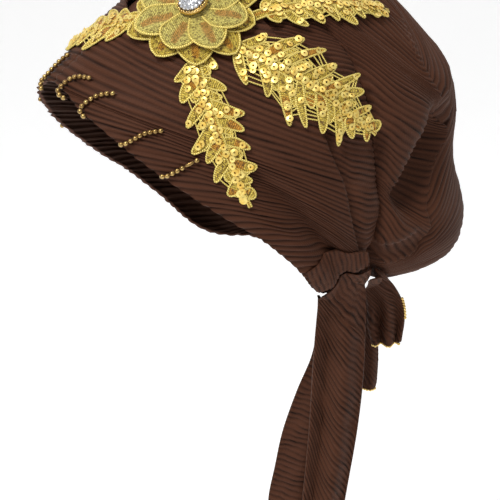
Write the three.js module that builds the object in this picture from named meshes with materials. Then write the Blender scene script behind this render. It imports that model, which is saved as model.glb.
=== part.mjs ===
import * as THREE from 'three';
import { mergeVertices } from 'three/addons/utils/BufferGeometryUtils.js';

// Pleated turban, worn form. Millimetres, Z up, front towards -Y, wearer's left towards +X.
// The origin is the middle of the head opening.

// Centre that the cloth is wrapped round, and half sizes of the head-shaped wrap
const CENTRE = new THREE.Vector3(0, 15, 15);
const HALF_SIDE = 84.5;
const HALF_FRONT = 115;
const HALF_BACK = 103.5;
const HALF_UP = 101;
const HALF_DOWN = 93;

// Broad swells of the wrap: turn from the front, lift, spread in turn and lift (degrees), rise
const SWELLS = [
  { name: 'visor', turn: 0, lift: 7.7, turnSpread: 16.8, liftSpread: 15, rise: 23 },
  { name: 'brow', turn: 0, lift: 46, turnSpread: 60, liftSpread: 18, rise: 1.5 },
  { name: 'upper back', turn: 150, lift: 14.4, turnSpread: 22, liftSpread: 9, rise: 9.3 },
  { name: 'back lobe', turn: 152, lift: -29, turnSpread: 30, liftSpread: 12, rise: 18.5 },
  { name: 'nape sag', turn: 180, lift: -40, turnSpread: 25, liftSpread: 12, rise: 7.2 },
];

// The gathering pole under the flower; the far end of the same line is the nape
const POLE = new THREE.Vector3(0, -0.52, 0.853).normalize();
const LEFT = new THREE.Vector3(1, 0, 0);
const FRONT = new THREE.Vector3(0, -1, 0).addScaledVector(POLE, POLE.y).normalize();

// Fold lines on the wearer's left, mirrored on the right.
// down = degrees from the pole, the other columns = degrees round the pole from the front
const RIM = [
  { down: 38.4, round: 0 },
  { down: 39, round: 5 },
  { down: 40.8, round: 10 },
  { down: 44, round: 17 },
  { down: 51, round: 27 },
  { down: 57, round: 33 },
  { down: 62, round: 38 },
  { down: 68, round: 41 },
  { down: 74, round: 44 },
  { down: 81, round: 48.5 },
  { down: 93, round: 54 },
  { down: 102, round: 57 },
  { down: 111, round: 58 },
  { down: 126, round: 57.5 },
  { down: 135, round: 61.5 },
  { down: 141, round: 66 },
  { down: 146, round: 71 },
];
const BAND_EDGE = [
  { down: 0, round: 108 },
  { down: 35, round: 103 },
  { down: 54, round: 95 },
  { down: 78, round: 88 },
  { down: 93, round: 86.5 },
  { down: 103, round: 83.5 },
  { down: 112, round: 81 },
  { down: 123, round: 79 },
  { down: 148, round: 74 },
];
const BAND_VALLEY = [
  { down: 60, round: 58, depth: 0 },
  { down: 74, round: 62.5, depth: 2.5 },
  { down: 91, round: 67, depth: 5 },
  { down: 104, round: 69, depth: 6 },
  { down: 117, round: 71, depth: 6 },
  { down: 128, round: 70.5, depth: 4 },
  { down: 148, round: 68, depth: 2 },
];
const PUFF_EDGE = [
  { down: 0, round: 128, depth: 0 },
  { down: 40, round: 123, depth: 1.5 },
  { down: 58, round: 122, depth: 4 },
  { down: 66, round: 119, depth: 5 },
  { down: 76, round: 114, depth: 6 },
  { down: 90, round: 107.5, depth: 7.5 },
  { down: 106, round: 101, depth: 8 },
  { down: 113, round: 98.5, depth: 8 },
  { down: 118, round: 93.5, depth: 8 },
  { down: 123, round: 88.5, depth: 8 },
  { down: 130, round: 85.5, depth: 7 },
  { down: 150, round: 82, depth: 5 },
];
const NAPE_EDGE = [
  { round: 68, down: 147.5 },
  { round: 90, down: 152 },
  { round: 120, down: 160 },
  { round: 150, down: 166 },
  { round: 180, down: 169 },
];

// Hollows pressed into the puffs: a straight trough between two points, half width and depth
const HOLLOWS = [
  { name: 'pocket', round0: 131, down0: 107, round1: 110, down1: 117, width: 8.5, depth: 17 },
  { name: 'lobe line', round0: 133, down0: 106.5, round1: 180, down1: 103, width: 7, depth: 4 },
  { name: 'tongue fold', round0: 104, down0: 130, round1: 84, down1: 128, width: 4, depth: 7 },
  { name: 'soft bend', round0: 134, down0: 62, round1: 133, down1: 102, width: 5, depth: 2.2 },
];

// Cloth walls, laps and gaps
const WALL = 2.4;
const BAND_LIFT = 2.6;
const TUCK_DROP = 1.3;
const TUCK_TURN = 7;
const LOW_TUCK_TURN = 3;
const EDGE_GAP_TURN = 0.9;
const RIM_ROLL = 1.4;
const PUFF_LIFT = 4.3;
const LACE_GAP = 1;
const LACE_WALL = 1.1;

// Lace flower, on the wearer's left of the brow
const FLOWER = { turn: 31, lift: 49 };
const LOWER_PETALS = 10;
const LOWER_PETAL_REACH = 34;
const UPPER_PETALS = 8;
const UPPER_PETAL_REACH = 28.5;
const BEZEL_RADIUS = 8.2;
const STONE_RADIUS = 6.6;

const MIDRIB_HALF = 1.5;

// Lace fronds: midrib from start to end, half width at its widest, fingers each side
const FRONDS = [
  { name: 'frond_front', start: [16.5, 43], end: [-15, 28.5], width: 13, fingers: 6, seed: 0.3 },
  { name: 'frond_side', start: [35, 36], end: [55, -6], width: 15, fingers: 8, seed: 1.1 },
  { name: 'frond_side_back', start: [47, 41], end: [98, 13], width: 25, fingers: 8, seed: 2.2 },
  { name: 'frond_back', start: [58, 51], end: [128, 47.5], width: 13, fingers: 8, seed: 3.4 },
  { name: 'frond_top', start: [12, 61], end: [-76, 62], width: 13, fingers: 6, seed: 4.2 },
];

// Bead strings: points from the rim back over the band as turn, lift, height above the band
const BEAD_RADIUS = 1.25;
const BEAD_PITCH = 2.8;
const THREAD_RADIUS = 0.55;
const BEAD_SIDES = 10;
const STRINGS = [
  {
    name: 'beads_right_1',
    path: [[-1.5, 17, 1.6], [-3.4, 18.6, 3.2], [-4.6, 21, 2], [-4.4, 24, 2], [-3, 26.6, 2]],
  },
  {
    name: 'beads_centre',
    path: [[8, 17, 1.6], [5.6, 18, 3.2], [5.4, 20.6, 2], [7.4, 22.4, 2], [11.4, 23, 2]],
  },
  {
    name: 'beads_left_1',
    path: [[14.4, 14, 1.6], [13, 15.8, 3], [14.2, 18.6, 2], [16.4, 20.2, 2], [19, 21, 2]],
  },
  {
    name: 'beads_left_2',
    path: [[22.6, 9.4, 1.6], [24, 9.6, 2.8], [25.6, 11, 2], [28, 12.8, 2], [32, 14, 2]],
  },
  {
    name: 'beads_left_3',
    path: [[32, 2.4, 1.6], [33.4, 2.2, 2.8], [35.6, 3.4, 2], [38, 5, 2], [41.4, 7, 2]],
  },
  {
    name: 'beads_right_2',
    path: [[-20, 11.4, 1.6], [-21, 12, 2.8], [-23, 13.6, 2], [-26, 15, 2], [-29.6, 16, 2]],
  },
  {
    name: 'beads_right_3',
    path: [[-32, 2.4, 1.6], [-33.4, 2.2, 2.8], [-35.6, 3.4, 2], [-38, 5, 2], [-41.4, 7, 2]],
  },
];

// Knot behind the left ear: its upper edge lies on the cloth and its lower edge is a full fold over
// the gathers of the hanging ends. Each edge as turn and lift from the rim up to the gathers.
const KNOT_OVER = [[76, -35], [82, -32], [88.5, -30], [95, -29], [101, -29.5]];
const KNOT_FOLD = [[84.8, -46.1], [90.5, -45.2], [94.8, -41.2], [98.8, -37.4], [102.2, -33.3]];
const KNOT_GAP = 0.9;
const KNOT_WALL = { share: [0, 0.15, 0.35, 0.55, 0.75, 0.9, 1], wall: [1, 1.5, 2.4, 3.3, 3.9, 3.7, 2.2] };
const KNOT_ROWS = 10;

// Each end is a row per level, gathered at the top and flaring down to its hem:
// middle x, y, z, half width, ripple depth, tilt of the row. The width faces forward and out.
const TAIL_YAW = 60;
const TAIL_BOW = 2.2;
const TAIL_CLOTH_GAP = 1.6;
const TAILS = [
  {
    name: 'tail_long_front',
    wall: 2,
    waves: 1.5,
    columns: 10,
    rows: [
      { x: 70.5, y: 22, z: -46.6, half: 12, ripple: 0.5, tilt: 7.8 },
      { x: 67, y: 24.6, z: -57.5, half: 12.4, ripple: 1, tilt: 7.6 },
      { x: 63.4, y: 27.6, z: -72, half: 13.6, ripple: 1.8, tilt: 3.8 },
      { x: 61, y: 28.6, z: -89, half: 14, ripple: 2.6, tilt: 0 },
      { x: 60, y: 28.5, z: -105, half: 14.3, ripple: 3, tilt: 0 },
      { x: 58, y: 28.7, z: -126, half: 14.2, ripple: 3.2, tilt: 0 },
      { x: 56, y: 27.7, z: -151, half: 13.6, ripple: 3, tilt: 0 },
      { x: 54, y: 25.7, z: -176, half: 12.8, ripple: 3, tilt: 0 },
      { x: 52, y: 23.6, z: -200, half: 11.9, ripple: 2.8, tilt: 0 },
      { x: 51, y: 21.5, z: -218, half: 9.4, ripple: 2, tilt: 0 },
    ],
  },
  {
    name: 'tail_long_inner',
    wall: 2,
    waves: 1,
    columns: 6,
    rows: [
      { x: 50, y: 30.5, z: -72, half: 6.4, ripple: 0.6, tilt: 0 },
      { x: 48, y: 30.5, z: -88, half: 7.5, ripple: 1, tilt: 0 },
      { x: 46, y: 30.1, z: -106, half: 9.2, ripple: 1.4, tilt: 0 },
      { x: 43, y: 25.1, z: -127, half: 11.4, ripple: 1.6, tilt: 0 },
      { x: 40, y: 20, z: -151, half: 13.1, ripple: 1.8, tilt: 0 },
      { x: 38, y: 16.1, z: -173, half: 13.1, ripple: 1.8, tilt: 0 },
      { x: 36, y: 13.2, z: -194, half: 13.3, ripple: 1.8, tilt: 0 },
      { x: 35, y: 10.6, z: -210, half: 9.4, ripple: 1.4, tilt: 0 },
    ],
  },
  {
    name: 'tail_short',
    wall: 1.8,
    waves: 2,
    columns: 10,
    rows: [
      { x: 63.4, y: 40, z: -43, half: 7.4, ripple: 0.2, tilt: -3 },
      { x: 60.2, y: 46.8, z: -52, half: 8.9, ripple: 0.3, tilt: -3 },
      { x: 58.6, y: 54, z: -62, half: 10, ripple: 0.8, tilt: -2 },
      { x: 56.5, y: 61, z: -75, half: 9.6, ripple: 2.2, tilt: 0 },
      { x: 54, y: 63.6, z: -87.4, half: 10, ripple: 3.2, tilt: 0 },
      { x: 53, y: 64.7, z: -101, half: 7.8, ripple: 3.2, tilt: 0 },
    ],
  },
  {
    name: 'tail_under',
    wall: 1.8,
    waves: 1,
    columns: 6,
    rows: [
      { x: 48, y: 54, z: -68, half: 3.3, ripple: 0.3, tilt: 0 },
      { x: 46, y: 58, z: -84, half: 3.7, ripple: 0.5, tilt: 0 },
      { x: 44, y: 60, z: -112, half: 4.4, ripple: 0.8, tilt: 0 },
      { x: 43, y: 60, z: -131, half: 4.2, ripple: 0.8, tilt: 0 },
    ],
  },
];

// Colours, roughness and metalness
const CLOTH = { color: 0x52342a, roughness: 0.82, metalness: 0 };
const CLOTH_DARK = { color: 0x3a221a, roughness: 0.85, metalness: 0 };
const LACE = { color: 0xd0b04a, roughness: 0.45, metalness: 0.35 };
const LACE_PALE = { color: 0xdcc466, roughness: 0.42, metalness: 0.35 };
const BRASS = { color: 0x8f7036, roughness: 0.34, metalness: 0.9 };
const GOLD = { color: 0xc9a24a, roughness: 0.3, metalness: 0.9 };
const STONES = { color: 0xd8dade, roughness: 0.12, metalness: 0.3 };

const rad = THREE.MathUtils.degToRad;
const deg = THREE.MathUtils.radToDeg;

// Smooth reading of a table column
function lookUp(table, key, column, at) {
  if (at <= table[0][key]) return table[0][column];
  const last = table.length - 1;
  if (at >= table[last][key]) return table[last][column];
  let i = 0;
  while (table[i + 1][key] < at) i += 1;
  const t = (at - table[i][key]) / (table[i + 1][key] - table[i][key]);
  return THREE.MathUtils.lerp(table[i][column], table[i + 1][column], t);
}

const smooth = (low, high, x) => THREE.MathUtils.smoothstep(x, low, high);

// Directions from the centre
function fromTurnLift(turn, lift) {
  const t = rad(turn);
  const l = rad(lift);
  return new THREE.Vector3(Math.cos(l) * Math.sin(t), -Math.cos(l) * Math.cos(t), Math.sin(l));
}

function fromRoundDown(round, down) {
  const across = Math.sin(rad(down));
  return new THREE.Vector3()
    .addScaledVector(POLE, Math.cos(rad(down)))
    .addScaledVector(FRONT, across * Math.cos(rad(round)))
    .addScaledVector(LEFT, across * Math.sin(rad(round)));
}

function toRoundDown(dir) {
  return {
    round: Math.abs(deg(Math.atan2(dir.dot(LEFT), dir.dot(FRONT)))),
    down: deg(Math.acos(THREE.MathUtils.clamp(dir.dot(POLE), -1, 1))),
  };
}

// Radius of the smooth wrap in a direction
function wrapRadius(dir) {
  const halfY = dir.y < 0 ? HALF_FRONT : HALF_BACK;
  const halfZ = dir.z > 0 ? HALF_UP : HALF_DOWN;
  let radius = 1 / Math.hypot(dir.x / HALF_SIDE, dir.y / halfY, dir.z / halfZ);
  const turn = deg(Math.atan2(Math.abs(dir.x), -dir.y));
  const lift = deg(Math.asin(THREE.MathUtils.clamp(dir.z, -1, 1)));
  const level = Math.cos(rad(lift));
  for (const swell of SWELLS) {
    const sides = swell.turn > 0 && swell.turn < 180 ? [1, -1] : [1];
    for (const side of sides) {
      let off = turn - swell.turn * side;
      off = ((off + 540) % 360) - 180;
      const u = (off * level) / swell.turnSpread;
      const v = (lift - swell.lift) / swell.liftSpread;
      radius += swell.rise * Math.exp(-0.5 * (u * u + v * v));
    }
  }
  return radius;
}

// Distance in degrees from a straight trough, as a share of its width
function troughShare(hollow, round, down) {
  const squash = Math.sin(rad((hollow.down0 + hollow.down1) / 2));
  const dx = (hollow.round1 - hollow.round0) * squash;
  const dy = hollow.down1 - hollow.down0;
  const px = (round - hollow.round0) * squash;
  const py = down - hollow.down0;
  const t = THREE.MathUtils.clamp((px * dx + py * dy) / (dx * dx + dy * dy), 0, 1);
  return Math.hypot(px - t * dx, py - t * dy) / hollow.width;
}

// Outer radius of the crown: tucked low under the band, panel one, then the puff over its edge
function crownRadius(dir) {
  const { round, down } = toRoundDown(dir);
  const wrap = wrapRadius(dir);
  const bandEdge = lookUp(BAND_EDGE, 'down', 'round', down);
  const puffEdge = lookUp(PUFF_EDGE, 'down', 'round', down);
  const crease = lookUp(PUFF_EDGE, 'down', 'depth', down);
  const shown = smooth(bandEdge + EDGE_GAP_TURN, bandEdge + 6, round) * smooth(14, 24, down);
  const reach = wrap * Math.sin(rad(down));
  const off = rad(round - puffEdge) * reach;
  const fade = off < 0 ? Math.exp(off / 9) : Math.exp(-off / 3.2);
  let relief = 3.2 * shown - crease * fade * shown;
  if (off > 0) relief += 2.2 * (crease / 8) * (1 - Math.exp(-off / 9)) * shown;
  for (const hollow of HOLLOWS) {
    const share = troughShare(hollow, round, down);
    relief -= hollow.depth * Math.exp(-1.2 * share * share * share) * shown;
  }
  return wrap - TUCK_DROP + relief;
}

// Outer radius of the front band, with the valley between its two folds
function bandRadius(dir) {
  const { round, down } = toRoundDown(dir);
  const wrap = wrapRadius(dir);
  const rim = lookUp(RIM, 'down', 'round', down);
  const edge = lookUp(BAND_EDGE, 'down', 'round', down);
  const valley = lookUp(BAND_VALLEY, 'down', 'round', down);
  const depth = lookUp(BAND_VALLEY, 'down', 'depth', down);
  const off = (round - valley) * Math.sin(rad(down));
  const dip = depth * Math.exp(-0.5 * (off / 2.4) ** 2);
  const folds = 1.6 * Math.exp(-0.5 * ((off - 8) / 5) ** 2) + 1.6 * Math.exp(-0.5 * ((off + 7) / 5) ** 2);
  const share = THREE.MathUtils.clamp((edge - round) / 6, 0, 1);
  const roll = RIM_ROLL * Math.exp(-0.5 * ((round - rim) / 3) ** 2) * smooth(46, 60, down);
  return wrap + BAND_LIFT + (folds * (depth / 6) - dip) * share + roll;
}

function place(dir, radius) {
  return CENTRE.clone().addScaledVector(dir, radius);
}

// Closed solid from an open sheet: outer skin, inner skin, and a wall along every free edge
function sheetSolid(outer, inner, triangles) {
  const keys = new Map();
  const ids = outer.map((p, i) => {
    const key = [p.x, p.y, p.z].map((value) => Math.round(value * 1e4) + 0).join();
    if (!keys.has(key)) keys.set(key, i);
    return keys.get(key);
  });
  const skin = [];
  for (const triangle of triangles) {
    const [a, b, c] = triangle.map((i) => ids[i]);
    if (a !== b && b !== c && c !== a) skin.push([a, b, c]);
  }
  const edges = new Set();
  for (const [a, b, c] of skin) {
    edges.add(`${a},${b}`);
    edges.add(`${b},${c}`);
    edges.add(`${c},${a}`);
  }
  const positions = [];
  const add = (...points) => {
    for (const p of points) positions.push(p.x, p.y, p.z);
  };
  for (const [a, b, c] of skin) {
    add(outer[a], outer[b], outer[c]);
    add(inner[c], inner[b], inner[a]);
    for (const [from, to] of [[a, b], [b, c], [c, a]]) {
      if (!edges.has(`${to},${from}`)) {
        add(outer[to], outer[from], inner[from]);
        add(outer[to], inner[from], inner[to]);
      }
    }
  }
  return finish(positions);
}

function finish(positions) {
  const geometry = new THREE.BufferGeometry();
  geometry.setAttribute('position', new THREE.Float32BufferAttribute(positions, 3));
  const merged = mergeVertices(geometry, 1e-4);
  merged.computeVertexNormals();
  return merged;
}

// Grid of points to two triangles a cell; a cell is left out where keep says so
function gridTriangles(rows, columns, keep = () => true) {
  const triangles = [];
  for (let r = 0; r < rows - 1; r += 1) {
    for (let c = 0; c < columns - 1; c += 1) {
      if (keep(r, c)) {
        const i = r * columns + c;
        triangles.push([i, i + columns, i + columns + 1], [i, i + columns + 1, i + 1]);
      }
    }
  }
  return triangles;
}

// Left half with its mirror image, welded along the middle
function bothSides(outer, inner, triangles) {
  const flip = (p) => new THREE.Vector3(-p.x, p.y, p.z);
  const count = outer.length;
  const mirrored = triangles.map(([a, b, c]) => [c + count, b + count, a + count]);
  return sheetSolid(
    [...outer, ...outer.map(flip)],
    [...inner, ...inner.map(flip)],
    [...triangles, ...mirrored],
  );
}

// Crown: one bag of cloth behind the band, closed over the top, open at the nape
const CROWN_LEVELS = [0, 12, 24, 36, 46, 55, 63, 71, 79, 87, 94, 100, 105, 110, 115, 120, 125, 131, 137];
const CROWN_CLOSING = [0.4, 0.75, 1];
const CAP_LEVEL = 24;
function makeCrown() {
  const outer = [];
  const inner = [];
  const capColumns = 4;
  const backShares = [0.09, 0.19, 0.29, 0.4, 0.53, 0.67, 0.83, 1];
  const levels = [...CROWN_LEVELS, ...CROWN_CLOSING.map((share) => -share)];
  let columns = 0;
  for (const level of levels) {
    const closing = level < 0 ? -level : 0;
    const down = closing ? CROWN_LEVELS[CROWN_LEVELS.length - 1] : level;
    const tuck = down > 112 ? LOW_TUCK_TURN : TUCK_TURN;
    const edge = lookUp(BAND_EDGE, 'down', 'round', down);
    const puff = lookUp(PUFF_EDGE, 'down', 'round', down);
    const rounds = [];
    for (let k = 0; k < capColumns; k += 1) rounds.push(((edge - tuck) * k) / capColumns);
    rounds.push(edge - tuck, edge + EDGE_GAP_TURN);
    const panelWidth = puff - edge;
    rounds.push(edge + panelWidth * 0.33, edge + panelWidth * 0.66, edge + panelWidth * 0.88);
    rounds.push(puff, puff + 2.2, puff + 5);
    for (const share of backShares) rounds.push(puff + 5 + (175 - puff) * share);
    columns = rounds.length;
    for (const round of rounds) {
      const end = lookUp(NAPE_EDGE, 'round', 'down', round);
      const dir = fromRoundDown(round, down + (end - down) * closing);
      const radius = crownRadius(dir);
      outer.push(place(dir, radius));
      inner.push(place(dir, radius - WALL));
    }
  }
  const keep = (r, c) => c >= capColumns || levels[r + 1] <= CAP_LEVEL && levels[r + 1] >= 0;
  return bothSides(outer, inner, gridTriangles(levels.length, columns, keep));
}

// Front band: from the crease behind the flower to the rim, both sides down to the nape
const BAND_LEVELS = [
  15, 23, 31, 38.4, 39, 40.8, 44, 47, 51, 56, 62, 68, 75, 82, 90, 98, 106, 114, 122, 129, 135, 141, 145.5,
];
const BAND_COLUMNS = [0, 0.1, 0.22, 0.36, 0.47, 0.56, 0.65, 0.76, 0.88, 1];
function makeBand() {
  const outer = [];
  const inner = [];
  for (const down of BAND_LEVELS) {
    const from = down > RIM[0].down ? lookUp(RIM, 'down', 'round', down) : 0;
    const to = lookUp(BAND_EDGE, 'down', 'round', down);
    for (const share of BAND_COLUMNS) {
      const dir = fromRoundDown(from + (to - from) * share, down);
      const radius = bandRadius(dir);
      outer.push(place(dir, radius));
      inner.push(place(dir, radius - WALL));
    }
  }
  return bothSides(outer, inner, gridTriangles(BAND_LEVELS.length, BAND_COLUMNS.length));
}

// Level the lace lies on: over the band, then over the highest puffs of the crown
function laceBed(dir) {
  const { round, down } = toRoundDown(dir);
  const edge = lookUp(BAND_EDGE, 'down', 'round', down);
  const lift = THREE.MathUtils.lerp(BAND_LIFT, PUFF_LIFT, smooth(edge - 9, edge + 1, round));
  const band = round < edge + 2 ? bandRadius(dir) : 0;
  return Math.max(wrapRadius(dir) + lift, crownRadius(dir), band);
}

// Point at a distance and bearing from a middle direction, over the surface
const PACE = 112;
function paceOut(middle, bearingAxis, sideAxis, distance, bearing) {
  const angle = distance / PACE;
  return middle.clone().multiplyScalar(Math.cos(angle))
    .addScaledVector(bearingAxis, Math.sin(angle) * Math.cos(bearing))
    .addScaledVector(sideAxis, Math.sin(angle) * Math.sin(bearing))
    .normalize();
}

const flowerDir = fromTurnLift(FLOWER.turn, FLOWER.lift);
const flowerUp = POLE.clone().addScaledVector(flowerDir, -POLE.dot(flowerDir)).normalize();
const flowerSide = new THREE.Vector3().crossVectors(flowerUp, flowerDir).normalize();

// One layer of petals as a round sheet with a lobed edge
function makePetals({ count, reach, middle, lift, tipLift, twist, cup }) {
  const perPetal = 4;
  const spokes = count * perPetal;
  const rings = [middle, 0.5, 0.82, 1];
  const outer = [];
  const inner = [];
  for (const ring of rings) {
    for (let s = 0; s < spokes; s += 1) {
      const phase = (s % perPetal) / perPetal;
      const lobe = Math.abs(Math.sin(Math.PI * phase)) ** 0.45;
      const share = ring * (1 - (1 - lobe) * 0.34 * smooth(0.3, 1, ring));
      const bearing = ((s / spokes) * 2 * Math.PI) + twist;
      const distance = reach * share;
      const dir = paceOut(flowerDir, flowerUp, flowerSide, distance, bearing);
      const height = lift(distance) + cup * lobe * ring + tipLift * ring * ring;
      const radius = laceBed(dir) + height;
      outer.push(place(dir, radius + LACE_WALL));
      inner.push(place(dir, radius));
    }
  }
  const triangles = [];
  for (let r = 0; r < rings.length - 1; r += 1) {
    for (let s = 0; s < spokes; s += 1) {
      const next = (s + 1) % spokes;
      const [a, b] = [r * spokes + s, r * spokes + next];
      const [c, d] = [a + spokes, b + spokes];
      triangles.push([a, c, d], [a, d, b]);
    }
  }
  return sheetSolid(outer, inner, flipTriangles(triangles));
}

function flipTriangles(triangles) {
  return triangles.map(([a, b, c]) => [c, b, a]);
}

// A solid of revolution standing on the flower
function makeTurned(profile, height, sides) {
  const geometry = new THREE.LatheGeometry(profile.map(([r, h]) => new THREE.Vector2(r, h)), sides);
  geometry.deleteAttribute('normal');
  geometry.deleteAttribute('uv');
  const merged = mergeVertices(geometry, 1e-4);
  merged.computeVertexNormals();
  const stand = place(flowerDir, laceBed(flowerDir) + height);
  const turn = new THREE.Quaternion().setFromUnitVectors(new THREE.Vector3(0, 1, 0), flowerDir);
  return { geometry: merged, stand, turn };
}

// A frond of lace: a midrib with slanting fingers each side, cut through between the fingers
function makeFrond({ start, end, width, fingers, seed }) {
  const from = fromTurnLift(...start);
  const to = fromTurnLift(...end);
  const span = from.angleTo(to);
  const rowsPerFinger = 3;
  const rows = fingers * rowsPerFinger;
  const columns = [-1, -0.2, 0.2, 1];
  const outer = [];
  const inner = [];
  for (let r = 0; r < rows; r += 1) {
    const t = r / (rows - 1);
    const dir = slide(from, to, span, t);
    const ahead = slide(from, to, span, t + 0.01).sub(dir).normalize();
    const aside = new THREE.Vector3().crossVectors(dir, ahead).normalize();
    const finger = Math.floor(r / rowsPerFinger);
    const swell = Math.sin(Math.PI * (0.14 + 0.86 * t) ** 0.9);
    const reach = r % rowsPerFinger === 1 ? 1 : 0.84;
    for (const column of columns) {
      const vary = 1 + 0.16 * Math.sin(seed * 7 + finger * 2.3 + (column > 0 ? 1.7 : 0));
      const long = Math.max(MIDRIB_HALF, width * (0.2 + 0.8 * swell) * reach * vary);
      const outward = Math.abs(column) === 1 ? long * column : MIDRIB_HALF * Math.sign(column);
      const forward = Math.abs(outward) * 0.75;
      const spot = dir.clone().addScaledVector(aside, outward / PACE)
        .addScaledVector(ahead, forward / PACE).normalize();
      const radius = laceBed(spot) + LACE_GAP;
      outer.push(place(spot, radius + LACE_WALL));
      inner.push(place(spot, radius));
    }
  }
  const kept = (r, c) => c === 1 || r % rowsPerFinger < 2;
  return sheetSolid(outer, inner, gridTriangles(rows, columns.length, kept));
}

function slide(from, to, span, t) {
  return from.clone().multiplyScalar(Math.sin((1 - t) * span) / Math.sin(span))
    .addScaledVector(to, Math.sin(t * span) / Math.sin(span)).normalize();
}

// A string of beads: one turned body along a curve, waisted between the beads
function makeString(path) {
  const points = path.map(([turn, lift, height]) => {
    const dir = fromTurnLift(turn, lift);
    return place(dir, bandRadius(dir) + height);
  });
  const curve = new THREE.CatmullRomCurve3(points);
  const length = curve.getLength();
  const beads = Math.round(length / BEAD_PITCH);
  const profile = [[0.02, THREAD_RADIUS], [0.5, BEAD_RADIUS]];
  const stations = [];
  for (let i = 0; i < beads; i += 1) {
    for (const [at, radius] of profile) stations.push([(i + at) / beads, radius]);
  }
  stations.push([1, THREAD_RADIUS]);
  const positions = [];
  const rings = stations.map(([at, radius]) => {
    const middle = curve.getPointAt(Math.min(at, 1));
    const along = curve.getTangentAt(Math.min(at, 1));
    const up = middle.clone().sub(CENTRE).normalize();
    const side = new THREE.Vector3().crossVectors(along, up).normalize();
    const rise = new THREE.Vector3().crossVectors(side, along).normalize();
    const ring = [];
    for (let k = 0; k < BEAD_SIDES; k += 1) {
      const angle = (k / BEAD_SIDES) * 2 * Math.PI;
      ring.push(middle.clone().addScaledVector(side, radius * Math.cos(angle))
        .addScaledVector(rise, radius * Math.sin(angle)));
    }
    return { middle, ring };
  });
  const push = (...list) => {
    for (const p of list) positions.push(p.x, p.y, p.z);
  };
  for (let i = 0; i < rings.length - 1; i += 1) {
    for (let k = 0; k < BEAD_SIDES; k += 1) {
      const n = (k + 1) % BEAD_SIDES;
      const [a, b] = [rings[i].ring[k], rings[i].ring[n]];
      const [c, d] = [rings[i + 1].ring[k], rings[i + 1].ring[n]];
      push(a, c, d);
      push(a, d, b);
    }
  }
  const [first, last] = [rings[0], rings[rings.length - 1]];
  for (let k = 0; k < BEAD_SIDES; k += 1) {
    const n = (k + 1) % BEAD_SIDES;
    push(first.middle, first.ring[k], first.ring[n]);
    push(last.middle, last.ring[n], last.ring[k]);
  }
  return finish(positions);
}

// A hanging end: a sheet gathered at the top, rippled across, with a wall of cloth
function makeTail({ rows, columns, waves, wall }) {
  const outer = [];
  const inner = [];
  const yaw = rad(TAIL_YAW);
  const across = new THREE.Vector3(Math.cos(yaw), Math.sin(yaw), 0);
  const out = new THREE.Vector3(Math.sin(yaw), -Math.cos(yaw), 0);
  for (const row of rows) {
    const middle = new THREE.Vector3(row.x, row.y, row.z);
    for (let c = 0; c <= columns; c += 1) {
      const share = (c / columns) * 2 - 1;
      const wave = Math.sin(share * Math.PI * waves + 0.6);
      const bow = -TAIL_BOW * share * share;
      const free = middle.clone().addScaledVector(across, share * row.half)
        .addScaledVector(out, wave * row.ripple + bow);
      free.z += row.tilt * share;
      const p = clearOfCloth(free, wall + TAIL_CLOTH_GAP);
      outer.push(p.clone().addScaledVector(out, wall / 2));
      inner.push(p.clone().addScaledVector(out, -wall / 2));
    }
  }
  return sheetSolid(outer, inner, gridTriangles(rows.length, columns + 1));
}

// Keeps a point outside the wrapped cloth by a gap, along the line from the centre
function clearOfCloth(point, gap) {
  const dir = point.clone().sub(CENTRE).normalize();
  const { round, down } = toRoundDown(dir);
  const end = lookUp(NAPE_EDGE, 'round', 'down', round);
  const rim = lookUp(RIM, 'down', 'round', down);
  if (down > end + 3 || round < rim - 3) return point;
  const cloth = Math.max(crownRadius(dir), round < 84 ? bandRadius(dir) : 0) + gap;
  const radius = point.distanceTo(CENTRE);
  return radius < cloth ? place(dir, cloth) : point;
}

// Knot: a fold of the band's end, thin where it leaves the cloth and full over the hanging ends
function makeKnot() {
  const [over, fold] = [KNOT_OVER, KNOT_FOLD].map((edge) => new THREE.CatmullRomCurve3(
    edge.map(([turn, lift]) => fromTurnLift(turn, lift)),
  ));
  const outer = [];
  const inner = [];
  for (let r = 0; r <= KNOT_ROWS; r += 1) {
    const t = r / KNOT_ROWS;
    const taper = Math.sin(Math.PI * (0.1 + 0.8 * t)) ** 0.5;
    for (let c = 0; c < KNOT_WALL.share.length; c += 1) {
      const dir = over.getPoint(t).lerp(fold.getPoint(t), KNOT_WALL.share[c]).normalize();
      const radius = Math.max(crownRadius(dir), bandRadius(dir)) + KNOT_GAP;
      outer.push(place(dir, radius + KNOT_WALL.wall[c] * taper));
      inner.push(place(dir, radius));
    }
  }
  const triangles = gridTriangles(KNOT_ROWS + 1, KNOT_WALL.share.length);
  return sheetSolid(outer, inner, flipTriangles(triangles));
}

const turban = new THREE.Group();
turban.name = 'pleated_turban';

function addPiece(name, geometry, look) {
  const mesh = new THREE.Mesh(geometry, new THREE.MeshStandardMaterial(look));
  mesh.name = name;
  turban.add(mesh);
  return mesh;
}

addPiece('crown', makeCrown(), CLOTH);
addPiece('front_band', makeBand(), CLOTH);

addPiece('knot', makeKnot(), CLOTH);

for (const tail of TAILS) {
  addPiece(tail.name, makeTail(tail), tail.name === 'tail_under' ? CLOTH_DARK : CLOTH);
}

for (const frond of FRONDS) addPiece(frond.name, makeFrond(frond), LACE);

// The lower petals step up over the roots of the fronds
const lowerLift = (distance) => LACE_GAP + 2.3 * smooth(14, 22, distance);
const upperLift = (distance) => lowerLift(distance) + LACE_WALL + 1.8;
addPiece('petals_lower', makePetals({
  count: LOWER_PETALS,
  reach: LOWER_PETAL_REACH,
  middle: 0.12,
  lift: lowerLift,
  tipLift: 0,
  twist: 0.2,
  cup: 0.8,
}), LACE);
addPiece('petals_upper', makePetals({
  count: UPPER_PETALS,
  reach: UPPER_PETAL_REACH,
  middle: 0.12,
  lift: upperLift,
  tipLift: 1,
  twist: 0.5,
  cup: 1,
}), LACE_PALE);

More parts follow.
